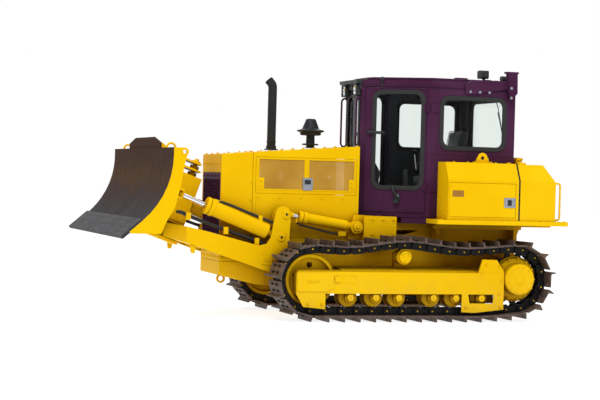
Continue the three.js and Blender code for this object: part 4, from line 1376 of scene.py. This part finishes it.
for side, sign in sides.items():
    makeWindow("door_window_" + side, doorOpeningOf(*cab["doorGlass"]), doorPlace(sign),
               "cab_door_" + side)
    makeWindow("side_window_" + side, cab["sideGlass"], sidePlace(sign, cab["half"]), "chassis")
makeWindow("front_window", cab["frontGlass"], endPlace(cab["front"], 1), "chassis")
makeWindow("back_window", cab["rearGlass"], endPlace(cab["rear"], -1), "chassis")


def makeDoorFittings(side):
    sign = sides[side]
    place = doorPlace(sign)
    door = "cab_door_" + side
    leaves, pins, frameLeaves = Form(), Form(), Form()
    for z in (1.676, 2.674):
        prism(leaves, rounded(rectangle(0.915 * doorRun - 0.02, 0.945 * doorRun, z - 0.05, z + 0.05),
                              0.008), -0.012, -0.0004, place)
        bolts(leaves, [place(0.918 * doorRun, z + b, -0.012) for b in (-0.03, 0.03)], outOf(place),
              0.020)
        rod(pins, place(doorRun - 0.047, z - 0.06, -0.013), place(doorRun - 0.047, z + 0.06, -0.013),
            0.013, 20, 0.003)
        bar(frameLeaves, (1.0, sign * 0.781, z - 0.055), (1.108, sign * 0.795, z + 0.055))
        bolts(frameLeaves, [spot(x, sign * 0.794, z + b) for x, b in
                            ((1.03, -0.03), (1.03, 0.03), (1.075, 0.0))], (0, sign, 0), 0.020)
    build("door_hinge_leaves_" + side, leaves, purple, door, bevel=0.003)
    build("door_hinge_pins_" + side, pins, purple, door)
    build("cab_hinge_leaves_" + side, frameLeaves, purple, "chassis", bevel=0.003)
    handle = Form()
    a = 0.545 * doorRun
    prism(handle, rounded(rectangle(a - 0.035, a + 0.035, 1.475, 1.585), 0.02), -0.022, -0.0004,
          place)
    prism(handle, rounded(rectangle(a - 0.042, a + 0.03, 1.462, 1.505), 0.015), -0.060, -0.018, place)
    tube(handle, [place(a + 0.012, 1.53, -0.03), place(a - 0.015, 1.56, -0.045),
                  place(a - 0.045, 1.62, -0.045), place(a - 0.062, 1.66, -0.03),
                  place(a - 0.066, 1.68, -0.014)], 0.015, 14)
    build("door_handle_" + side, handle, plastic, door, bevel=0.004, steps=3)
    stud = Form()
    bolt(stud, place(a + 0.008, 1.555, -0.022), outOf(place), 0.022)
    build("door_handle_bolt_" + side, stud, zinc, door)
    strap = Form()
    tube(strap, [place(0.10, 2.352, -0.003), place(0.105, 2.353, -0.035), place(0.20, 2.352, -0.042),
                 place(0.30, 2.350, -0.03), place(0.305, 2.350, 0.012)], 0.019, 14)
    turned(strap, [(0, -0.024), (0.024, -0.024), (0.028, -0.018), (0.028, 0.018), (0.024, 0.024),
                   (0, 0.024)], place(0.11, 2.352, -0.024), (0, 0, 1), 20)
    build("door_strap_" + side, strap, plastic, door, bevel=0.002)
    edge = Form()
    ring = doorOpeningOf(0.045, 0.945, 1.338, 2.932)
    inner = doorOpeningOf(0.053, 0.937, 1.346, 2.924)
    frameRing(edge, rectangle(*ring), rectangle(*inner), -0.005, -0.0003, place)
    build("door_frame_rim_" + side, edge, purple, "chassis", bevel=0.0015)
    inside = Form()
    prism(inside, rounded(rectangle(a - 0.16, a + 0.02, 1.50, 1.60), 0.03), 0.037, 0.05, place)
    tube(inside, [place(0.13 * doorRun, 2.0, 0.04), place(0.13 * doorRun, 2.02, 0.075),
                  place(0.13 * doorRun, 2.3, 0.075), place(0.13 * doorRun, 2.32, 0.04)], 0.011, 12)
    build("door_inner_trim_" + side, inside, plastic, door, bevel=0.003)


def makeGrabRail(side):
    sign = sides[side]
    rail, feet = Form(), Form()
    y = sign * 0.288
    tube(rail, railPath(1.872, 1.885, y, 2.17, 2.80, 0.05, 1), 0.0125, 16)
    for z in (2.80, 2.17):
        disc(feet, spot(1.8705, y, z), (1, 0, 0), [(0.028, 0), (0.028, 0.004), (0.024, 0.006)], 24)
    build("grab_rail_" + side, rail, purple, "chassis")
    build("grab_rail_feet_" + side, feet, purple, "chassis")


def makeRoofTrim(side):
    sign = sides[side]
    place = doorPlace(sign)
    gutter = Form()
    tube(gutter, [place(0.02, 2.948, -0.008), place(doorRun * 0.5, 2.948, -0.008),
                  place(doorRun - 0.006, 2.948, -0.008), spot(1.09, sign * 0.789, 2.948),
                  spot(0.66, sign * 0.789, 2.948)], 0.008, 12)
    build("rain_gutter_" + side, gutter, purple, "chassis")
    seams = Form()
    for low, high in (((-0.045, 2.085), (1.095, 2.091)), ((-0.045, 2.918), (1.095, 2.922))):
        bar(seams, (low[0], sign * 0.7802, low[1]), (high[0], sign * 0.7812, high[1]))
    bar(seams, (1.03, sign * 0.7802, 1.30), (1.034, sign * 0.7812, 2.94))
    build("cab_side_seams_" + side, seams, gapBlack, "chassis")
    places = [spot(x, sign * 0.8105, 2.90) for x in (0.59, 0.328, 0.46)]
    places += [spot(0.045, sign * 0.8565, z) for z in (2.965, 2.84)]
    build("duct_bolts_" + side, bolts(Form(), places, (0, sign, 0), 0.026), zinc, "chassis")
    sill = Form()
    bolts(sill, [place(doorRun * (0.08 + 0.14 * i), 1.315, 0.0) for i in range(7)], outOf(place),
          0.016)
    bolts(sill, [spot(1.0 - 0.22 * i, sign * 0.78, 1.315) for i in range(5)], (0, sign, 0), 0.016)
    build("sill_bolts_" + side, sill, purple, "chassis")


def makeRoof():
    lampCases, lens = Form(), Form()
    y = 0.60
    for x0, x1, low, high, half in ((0.285, 0.385, 3.085, 3.19, 0.068),
                                    (0.0, 0.075, 3.066, 3.13, 0.05)):
        shell = rounded(rectangle(y - half, y + half, low, high), 0.024, 5)
        prism(lampCases, shell, x0 + 0.01, x1, inFront)
        inner = rounded(rectangle(y - half + 0.009, y + half - 0.009, low + 0.009, high - 0.009),
                        0.018, 5)
        frameRing(lampCases, shell, inner, x0 - 0.006, x0 + 0.012, inFront)
        prism(lens, inner, x0, x0 + 0.006, inFront)
    tube(lampCases, [spot(0.34, y, 3.09), spot(0.30, y, 3.062), spot(0.22, y, 3.064)], 0.013, 12)
    bar(lampCases, (0.02, y - 0.012, 3.055), (0.06, y + 0.012, 3.07))
    tube(lampCases, [spot(0.23, y, 3.062), spot(0.12, y - 0.03, 3.068), spot(0.02, y - 0.08, 3.062)],
         0.006, 8)
    build("roof_lamp_cases", lampCases, plastic, "chassis", bevel=0.004, steps=3)
    build("roof_lamp_lenses", lens, lampGlass, "chassis")
    aerial = Form()
    at = doorPlace(1)(0.29 * doorRun, 2.95, -0.016)
    ball = [(0, 0.055)] + [(0.027 * math.cos(t), 0.085 + 0.03 * math.sin(t))
                           for t in (math.radians(a) for a in range(-75, 90, 15))] + [(0, 0.115)]
    turned(aerial, [(0, -0.02), (0.009, -0.02), (0.009, 0.06), (0, 0.06)], at, (0, 0, 1), 16)
    turned(aerial, ball, at, (0, 0, 1), 20)
    build("aerial_base", aerial, plastic, "chassis")
    panel = Form()
    prism(panel, rounded([(1.70, 0.20), (1.70, -0.20), (1.02, -0.62), (0.08, -0.62), (0.08, 0.62),
                          (1.02, 0.62)], 0.06), 3.058, 3.068, asIs)
    build("roof_panel", panel, purple, "chassis", bevel=0.004)


def makeWipers():
    # One on the windshield and one on the rear glass: pivot, tip of the arm, half of the blade.
    arms, blades = Form(), Form()
    for x, hand, pivot, tip, half in ((1.873, 1, (0.12, 1.86), (0.02, 2.30), 0.24),
                                      (-0.053, -1, (0.10, 2.88), (0.30, 2.50), 0.20)):
        def at(y, z, off):
            return spot(x + hand * off, y, z)
        turned(arms, [(0, 0), (0.02, 0), (0.018, 0.02), (0, 0.024)], at(*pivot, 0.0), (hand, 0, 0), 20)
        third = [(p * 2 + t) / 3 for p, t in zip(pivot, tip)]
        tube(arms, [at(*pivot, 0.018), at(*third, 0.034), at(*tip, 0.028)], 0.006, 10)
        lean = Vector((tip[0] - pivot[0], tip[1] - pivot[1])).normalized() * half
        tube(blades, [at(tip[0] - lean.x, tip[1] - lean.y, 0.019), at(*tip, 0.024),
                      at(tip[0] + lean.x, tip[1] + lean.y, 0.019)], 0.008, 8)
    build("wiper_arms", arms, plastic, "chassis")
    build("wiper_blades", blades, rubber, "chassis")


for side in sides:
    makeDoorFittings(side)
    makeGrabRail(side)
    makeRoofTrim(side)
makeRoof()
makeWipers()
print("bulldozer: cab fitted")


# Hood fittings
hoodTop = [(3.740, 2.016), (3.335, 2.052), (2.730, 2.105), (1.930, 2.165)]


def hoodHeight(x):
    for (x1, z1), (x0, z0) in zip(hoodTop, hoodTop[1:]):
        if x >= x0:
            return z0 + (z1 - z0) * (x - x0) / (x1 - x0)
    return hoodTop[-1][1]


def makeHoodFittings():
    places = [spot(x, y, hoodHeight(x) - 0.001) for y in (-0.43, -0.15, 0.15, 0.43)
              for x in (3.70 - 0.145 * i for i in range(13) if abs(y) > 0.2 or i in (0, 3))]
    heads = bolts(Form(), places, (0, 0, 1), 0.024)
    bolts(heads, [spot(3.7395, -0.40 + 0.8 * i / 6, z) for i in range(7) for z in (1.90, 0.74)],
          (1, 0, 0), 0.020)
    seam = Form()
    for x in (3.3335, 2.10):
        z = hoodHeight(x)
        bar(seam, (x - 0.0015, -0.455, z - 0.002), (x + 0.0015, 0.455, z + 0.0006))
    build("hood_top_seams", seam, gapBlack, "chassis")
    build("hood_bolts", heads, yellow, "chassis", bevel=0.001)
    band = bolts(Form(), [spot(3.738, -0.36 + 0.18 * i, 1.748) for i in range(5)], (1, 0, 0), 0.022)
    build("grille_bolts", band, purple, "chassis")


def makeEngineSide(side):
    sign = sides[side]
    body = "engine_door_" + side
    panel = Form()
    prism(panel, rounded(rectangle(2.110, 3.286, 1.075, 1.525), 0.012), sign * 0.4553, sign * 0.4583)
    places = [spot(x, sign * 0.458, z) for x in (2.14, 2.42, 2.70, 2.98, 3.255) for z in (1.105, 1.495)]
    for i in range(6):
        places += [spot(3.37 + 0.066 * i, sign * 0.455, 0.735), spot(3.355, sign * 0.455, 0.80 + 0.22 * i)]
    bolts(panel, places, (0, sign, 0), 0.018)
    build("engine_side_panel_" + side, panel, yellow, "chassis", bevel=0.001)
    tabs = Form()
    for x0, x1 in ((3.185, 3.262), (1.992, 2.070)):
        prism(tabs, rounded(rectangle(x0, x1, 1.602, 1.742), 0.01), sign * 0.4553, sign * 0.4593)
        bolts(tabs, [spot((x0 + x1) / 2, sign * 0.459, z) for z in (1.64, 1.70)], (0, sign, 0), 0.018)
    rimForm = Form()
    for x0, x1 in ((1.998, 2.604), (2.660, 3.256)):
        frameRing(rimForm, rectangle(x0 - 0.014, x1 + 0.014, 1.586, 1.989),
                  rectangle(x0 + 0.004, x1 - 0.004, 1.604, 1.971), sign * 0.4552, sign * 0.4578)
    build("door_window_rims_" + side, rimForm, yellow, body, bevel=0.001)
    build("door_corner_tabs_" + side, tabs, yellow, body, bevel=0.001)
    makeLatch("engine_latch_" + side, 2.550, 2.682, 1.594, 1.750, 0.4582, sign, body, True)


def makeLatch(name, x0, x1, z0, z1, y, sign, body, upright):
    # A pressed zinc dish with a black paddle.
    dish, paddle, dark = Form(), Form(), Form()
    outer = rounded(rectangle(x0, x1, z0, z1), 0.012)
    w = 0.018
    inner = rounded(rectangle(x0 + w, x1 - w, z0 + w, z1 - w), 0.008)
    frameRing(dish, outer, inner, sign * (y - 0.002), sign * (y + 0.006))
    prism(dark, rounded(rectangle(x0 + 0.004, x1 - 0.004, z0 + 0.004, z1 - 0.004), 0.01),
          sign * (y - 0.0028), sign * (y + 0.0005))
    mid = (z0 + z1) / 2
    if upright:
        prism(paddle, rounded(rectangle(x0 + 0.028, x1 - 0.028, mid - 0.002, z1 - 0.026), 0.006),
              sign * (y + 0.0005), sign * (y + 0.0085))
        prism(dish, rounded(rectangle(x0 + 0.034, x1 - 0.034, z0 + 0.026, mid - 0.016), 0.006),
              sign * (y + 0.0005), sign * (y + 0.0055))
    else:
        third = (x1 - x0) / 3
        prism(paddle, rounded(rectangle(x0 + third, x1 - third, z0 + 0.026, z1 - 0.026), 0.006),
              sign * (y + 0.0005), sign * (y + 0.0085))
    build(name + "_dish", dish, zinc, body, bevel=0.001)
    build(name + "_recess", dark, zinc, body)
    build(name + "_paddle", paddle, plastic, body, bevel=0.0015)


makeHoodFittings()
for side in sides:
    makeEngineSide(side)
print("bulldozer: hood fitted")


# Boxes, tank and steps
def makeDeckFittings():
    makeLatch("battery_latch", 0.081, 0.238, 1.443, 1.568, 1.1505, 1, "battery_box_door", False)
    plate = Form()
    prism(plate, rounded(rectangle(0.788, 0.942, 1.569, 1.648), 0.004), 1.1502, 1.1517)
    build("blank_plate", plate, brownPlate, "battery_box_door")
    rim = Form()
    frameRing(rim, rectangle(0.064, 0.996, 1.303, 1.759), rectangle(0.0765, 0.9835, 1.3155, 1.7465),
              1.1502, 1.1522)
    for z in (1.40, 1.66):
        rod(rim, spot(0.9895, 1.153, z - 0.03), spot(0.9895, 1.153, z + 0.03), 0.007, 12, 0.001)
    build("battery_door_rim", rim, yellow, "chassis", bevel=0.0008)
    for side, sign in sides.items():
        grab = Form()
        tube(grab, railPath(-0.474, -0.53, sign * 1.09, 1.30, 1.765, 0.035, -1), 0.0125, 14)
        build("tank_grab_" + side, grab, yellow, "chassis")
        extras = Form()
        disc(extras, spot(-0.06, sign * 0.98, 1.9945), (0, 0, 1),
             [(0.062, 0), (0.062, 0.018), (0.056, 0.026)], 32)
        disc(extras, spot(0.07, sign * 0.90, 1.9995), (0, 0, 1),
             [(0.03, 0), (0.03, 0.012), (0.026, 0.016)], 24)
        tube(extras, circle(-0.02, sign * 0.98, 2.034, 0.024, 20), 0.006, 8, closed=True)
        for i in range(5):
            bolt(extras, spot(0.12 + 0.19 * i, sign * 1.02, 1.9995), (0, 0, 1), 0.02)
            bolt(extras, spot(-0.60 + 0.42 * i, sign * 1.16, 1.2775), (0, 0, 1), 0.02)
        build("deck_bolts_" + side, extras, yellow, "chassis", bevel=0.001)
        seam = Form()
        prism(seam, [(sign * 0.80, 2.0006), (sign * 1.0405, 2.0006), (sign * 1.1506, 1.7855),
                     (sign * 1.1506, 1.282), (sign * 1.149, 1.282), (sign * 1.149, 1.784),
                     (sign * 1.0395, 1.999), (sign * 0.80, 1.999)], 0.0155, 0.0375, inFront)
        build("tank_joint_" + side, seam, gapBlack, "chassis")
        lugPlate = Form()
        for x in (0.40, 0.532):
            disc(lugPlate, spot(x, sign * 0.966, 2.045), (0, sign, 0), [(0.013, 0), (0.013, 0.003)], 20)
        bar(lugPlate, (0.33, sign * 0.935, 1.9995), (0.60, sign * 0.981, 2.012))
        bolts(lugPlate, [spot(x, sign * 0.973, 2.011) for x in (0.36, 0.57)], (0, 0, 1), 0.016)
        build("lug_foot_" + side, lugPlate, yellow, "chassis", bevel=0.001)
    cap = Form()
    disc(cap, spot(-0.18, 0.60, 0), (0, 0, 1), [(0.070, 2.049), (0.072, 2.052), (0.072, 2.076),
                                                (0.066, 2.084), (0.02, 2.088)], 40)
    for foot in circle(-0.18, 0.60, 2.053, 0.072, 12, flat=True):
        rod(cap, foot, foot + Vector((0, 0, 0.022)), 0.005, 8)
    build("filler_cap", cap, yellow, "chassis", bevel=0.001)
    ribs = Form()
    for x in (-0.60 + 0.09 * i for i in range(18)):
        for sign in (-1, 1):
            sideBar(ribs, (x, 1.155, 1.2775), (x + 0.045, 1.171, 1.2815), sign)
    build("step_treads", ribs, yellow, "chassis", bevel=0.001)


makeDeckFittings()


# Lift linkage fittings
def layHose(form, route, y, drop, radius, steps):
    points = bulge([Vector(p) for p in route], 6)
    return tube(form, [spot(p.x, y, p.y - drop) for p in points], radius, steps)


def makeLinkFittings(side):
    sign = sides[side]
    anchor = Form()
    sidePlate(anchor, [(1.478, 0.998), (2.086, 0.998), (2.05, 1.16), (2.02, 1.30), (1.95, 1.302),
                       (1.478, 1.288)], sign, 0.521, 0.535)
    pipe(anchor, spot(2.008, sign * 0.536, 1.147), spot(2.008, sign * 0.5375, 1.147), 0.085, 0.036)
    rod(anchor, spot(2.008, sign * 0.535, 1.147), spot(2.008, sign * 0.662, 1.147), 0.034, 28, 0.003)
    disc(anchor, spot(2.008, sign * 0.6505, 1.147), (0, sign, 0),
         [(0.052, 0), (0.052, 0.008), (0.046, 0.012)], 32)
    bolt(anchor, spot(2.008, sign * 0.662, 1.147), (0, sign, 0), 0.03)
    bolts(anchor, [spot(x, sign * 0.64, z) for x in (1.52, 1.66, 1.80) for z in (1.25, 1.06)],
          (0, sign, 0), 0.024)
    build("lift_anchor_" + side, anchor, yellow, "chassis", bevel=0.002)

    pins, darkHeads = Form(), Form()
    for x, z, radius in ((2.945, 1.293, 0.036), (3.005, 1.009, 0.030)):
        rod(pins, spot(x, sign * 0.6552, z), spot(x, sign * 0.668, z), radius - 0.002, 28, 0.003)
        turned(pins, [(radius, 0), (radius + 0.026, 0), (radius + 0.026, 0.006), (radius + 0.02, 0.01),
                      (radius, 0.01)], spot(x, sign * 0.6552, z), (0, sign, 0), 32)
        bolts(pins, circle(x, sign * 0.665, z, radius + 0.013, 3, 1 / 3), (0, sign, 0), 0.013)
        disc(darkHeads, spot(x, sign * 0.667, z), (0, sign, 0),
             [(0.017, 0), (0.017, 0.0045), (0.013, 0.006)], 6)
    build("pin_bolts_" + side, darkHeads, heatPaint, "c_frame")
    sidePlate(pins, rounded([(3.285, 0.80), (3.12, 0.77), (3.105, 0.66), (3.27, 0.675)], 0.02),
              sign, 0.6551, 0.6611)
    sidePlate(pins, rounded([(3.235, 0.748), (3.155, 0.734), (3.15, 0.712), (3.23, 0.724)], 0.008),
              sign, 0.661, 0.669)
    build("lever_pins_" + side, pins, yellow, "c_frame", bevel=0.0015)

    hose, clips = Form(), Form()
    y = sign * 0.602
    route = [(4.322, 1.302), (4.26, 1.292), (4.192, 1.262), (3.98, 1.182), (3.708, 1.092),
             (3.50, 1.022), (3.309, 0.964), (3.24, 0.935), (3.19, 0.90)]
    layHose(hose, route, y, 0.0, 0.019, 14)
    layHose(hose, route, y - sign * 0.045, 0.006, 0.019, 14)
    for x, z in ((4.185, 1.262), (3.708, 1.094), (3.309, 0.966)):
        sideBar(clips, (x - 0.03, 0.527, z - 0.06), (x + 0.03, 0.632, z + 0.030), sign)
    build("arm_hoses_" + side, hose, rubber, "c_frame")
    build("arm_hose_clips_" + side, clips, yellow, "c_frame", bevel=0.004)

    pipeForm, clip = Form(), Form()
    route = [(3.80, 1.428), (3.739, 1.418), (3.60, 1.372), (3.42, 1.303), (3.272, 1.248),
             (3.15, 1.204), (3.09, 1.182)]
    layHose(pipeForm, route, y, 0.0, 0.017, 14)
    rod(clip, spot(3.80, y, 1.428), spot(3.86, y, 1.448), 0.021, 6, 0.003)
    rod(clip, spot(3.84, y, 1.40), spot(3.83, y, 1.452), 0.02, 16, 0.003)
    sideBar(clip, (3.245, 0.598, 1.17), (3.295, 0.634, 1.272), sign)
    build("angle_hose_" + side, pipeForm, rubber, "angle_barrel_" + side)
    build("angle_hose_clip_" + side, clip, yellow, "angle_barrel_" + side, bevel=0.003)

    under, fittings = Form(), Form()
    route = [(2.80, 1.195), (2.74, 1.165), (2.60, 1.130), (2.42, 1.090), (2.28, 1.062), (2.22, 1.062)]
    layHose(under, route, y, 0.0, 0.012, 12)
    rod(fittings, spot(2.80, y, 1.19), spot(2.79, y, 1.25), 0.016, 6, 0.002)
    bar(fittings, (2.15, y - 0.028, 1.035), (2.25, y + 0.028, 1.092))
    rod(fittings, spot(2.20, y, 1.02), spot(2.20, y, 1.10), 0.014, 6, 0.002)
    build("lift_hose_" + side, under, rubber, "lift_barrel_" + side)
    build("lift_hose_fittings_" + side, fittings, yellow, "lift_barrel_" + side, bevel=0.003)


for side in sides:
    makeLinkFittings(side)
print("bulldozer: linkage fitted")


# Blade fittings
def makeBladeFittings():
    form = Form()
    for sign in (1, -1):
        tube(form, circle(4.562, sign * 1.2, 2.067, 0.052, 32), 0.013, 12, closed=True)
        for y in (sign * 0.50, sign * 0.84):
            prism(form, [(4.505, 2.0645), (4.597, 2.0645), (4.597, 2.125), (4.58, 2.125)], y - 0.008,
                  y + 0.008)
        low, high = sorted((sign * blade["half"], sign * (blade["half"] - 0.030)))
        pipe(form, spot(4.51, low - 0.004, 2.017), spot(4.51, high + 0.004, 2.017), 0.046, 0.024)
    build("blade_lifting_rings", form, yellow, "blade", bevel=0.0015)
    joints = Form()
    line = faceCurve(-0.0042, 60)
    xa, xb = [x for x, z in line if abs(z - 1.83) < 0.016][:2]
    bar(joints, (min(xa, xb) - 0.0022, -1.1385, 1.829), (min(xa, xb) + 0.0012, 1.1385, 1.832))
    build("blade_level_seam", joints, gapBlack, "blade")


def makeCarrierFittings():
    form = Form()
    for u in (-0.08, 0.02, 0.12, 0.20):
        bolts(form, [nosePoint(u, y, 0.1305) for y in (-0.10, 0.10)], noseUp, 0.03)
    for w in (0.20, 0.35, 0.50, 0.64):
        for sign in (1, -1):
            bolt(form, nosePoint(0.225, sign * 0.15, w), (0, sign, 0), 0.026)
    disc(form, nosePoint(-0.02, 0, 0.9045), noseUp, [(0.055, 0), (0.055, 0.014), (0.048, 0.022)], 32)
    bolt(form, nosePoint(-0.02, 0, 0.9265), noseUp, 0.045)
    for sign in (1, -1):
        disc(form, nosePoint(0.22, sign * 0.59, 0.4862), noseUp,
             [(0.042, 0), (0.042, 0.008), (0.036, 0.014)], 28)
    for w in (0.800, 0.712):
        rod(form, nosePoint(-0.02, 0, w + 0.014), nosePoint(-0.02, 0, w + 0.062), 0.058, 28, 0.004)
    build("carrier_bolts", form, yellow, "blade_carrier", bevel=0.0015)


makeBladeFittings()
makeCarrierFittings()


# Track frame fittings
def makeTrackFrameFittings(side):
    sign = sides[side]
    form = Form()

    def plateOn(outline, y0, y1):
        prism(form, outline, *sorted((sign * y0, sign * y1)))
    plateOn(rounded([(2.94, 0.372), (2.94, 0.585), (2.905, 0.607), (2.475, 0.607), (2.475, 0.41),
                     (2.56, 0.372)], 0.012), 1.1495, 1.157)
    frameRing(form, rounded(rectangle(2.655, 2.815, 0.482, 0.516), 0.015),
              rounded(rectangle(2.663, 2.807, 0.490, 0.508), 0.008), sign * 1.1565, sign * 1.161)
    plateOn(rounded(rectangle(2.386, 2.462, 0.492, 0.562), 0.01), 1.1495, 1.166)
    frameRing(form, rounded(rectangle(2.165, 2.345, 0.474, 0.572), 0.01),
              rounded(rectangle(2.171, 2.339, 0.480, 0.566), 0.006), sign * 1.1495, sign * 1.153)
    for x, z in ((2.527, 0.521), (2.50, 0.50), (1.816, 0.541), (0.72, 0.55), (0.55, 0.38)):
        disc(form, spot(x, sign * 1.1495, z), (0, sign, 0), [(0.009, 0), (0.009, 0.004), (0.006, 0.006)],
             16)
    bolts(form, [spot(x, sign * 1.12, 0.619) for x in (2.203, 1.921, 0.9)], (0, 0, 1), 0.022)
    coverBolts = ((0.28, 0.70), (0.45, 0.72), (0.27, 0.36), (0.51, 0.62), (0.24, 0.52))
    bolts(form, [spot(x, sign * 1.1458, z) for x, z in coverBolts], (0, sign, 0), 0.026)
    bottomBolts = ((0.25, 0.19), (0.72, 0.19), (2.62, 0.22), (2.80, 0.22))
    bolts(form, [spot(x, sign * 1.1497, z) for x, z in bottomBolts], (0, sign, 0), 0.024)
    build("track_frame_fittings_" + side, form, yellow, "chassis", bevel=0.0015)

    back = sideBar(Form(), (0.200, 0.80, 0.215), (0.520, 0.812, 0.420), sign)
    build("roller_guard_" + side, back, yellow, "chassis")
    hull = sideBar(Form(), (0.560, 0.452, 1.120), (1.480, 0.462, 1.279), sign)
    turned(hull, [(0, 0), (0.016, 0), (0.014, 0.006), (0, 0.008)], spot(1.06, sign * 0.462, 1.16),
           (0, sign, 0), 16)
    build("hull_cover_" + side, hull, yellow, "chassis", bevel=0.002)


for side in sides:
    makeTrackFrameFittings(side)


# Rear and underside fittings
def makeRearFittings():
    places = [spot(-0.25, y, z) for y in (-0.38, -0.13, 0.13, 0.38) for z in (0.56, 0.92)]
    build("rear_hull_bolts", bolts(Form(), places, (-1, 0, 0), 0.034), yellow, "chassis", bevel=0.0015)
    seatForm = Form()
    for sign in (1, -1):
        bar(seatForm, (0.56, sign * 0.262, 1.95), (0.86, sign * 0.310, 1.99))
        bar(seatForm, (0.545, sign * 0.268, 1.72), (0.585, sign * 0.30, 1.96))
    build("seat_arm_rests", seatForm, plastic, "chassis", bevel=0.008, steps=3)
    gauges = Form()
    for y in (-0.10, 0.0, 0.10):
        disc(gauges, spot(1.628, y, 1.945), (-0.6, 0, 0.45), [(0.035, 0), (0.035, 0.008)], 28)
    build("gauges", gauges, lampGlass, "chassis")
    pedals = Form()
    for y in (-0.14, 0.14):
        bar(pedals, (1.46, y - 0.045, 1.40), (1.475, y + 0.045, 1.52))
        tube(pedals, [spot(1.47, y, 1.44), spot(1.55, y, 1.38), spot(1.60, y, 1.36)], 0.009, 10)
    build("pedals", pedals, plastic, "chassis", bevel=0.003)


makeRearFittings()
print("bulldozer: fittings made")
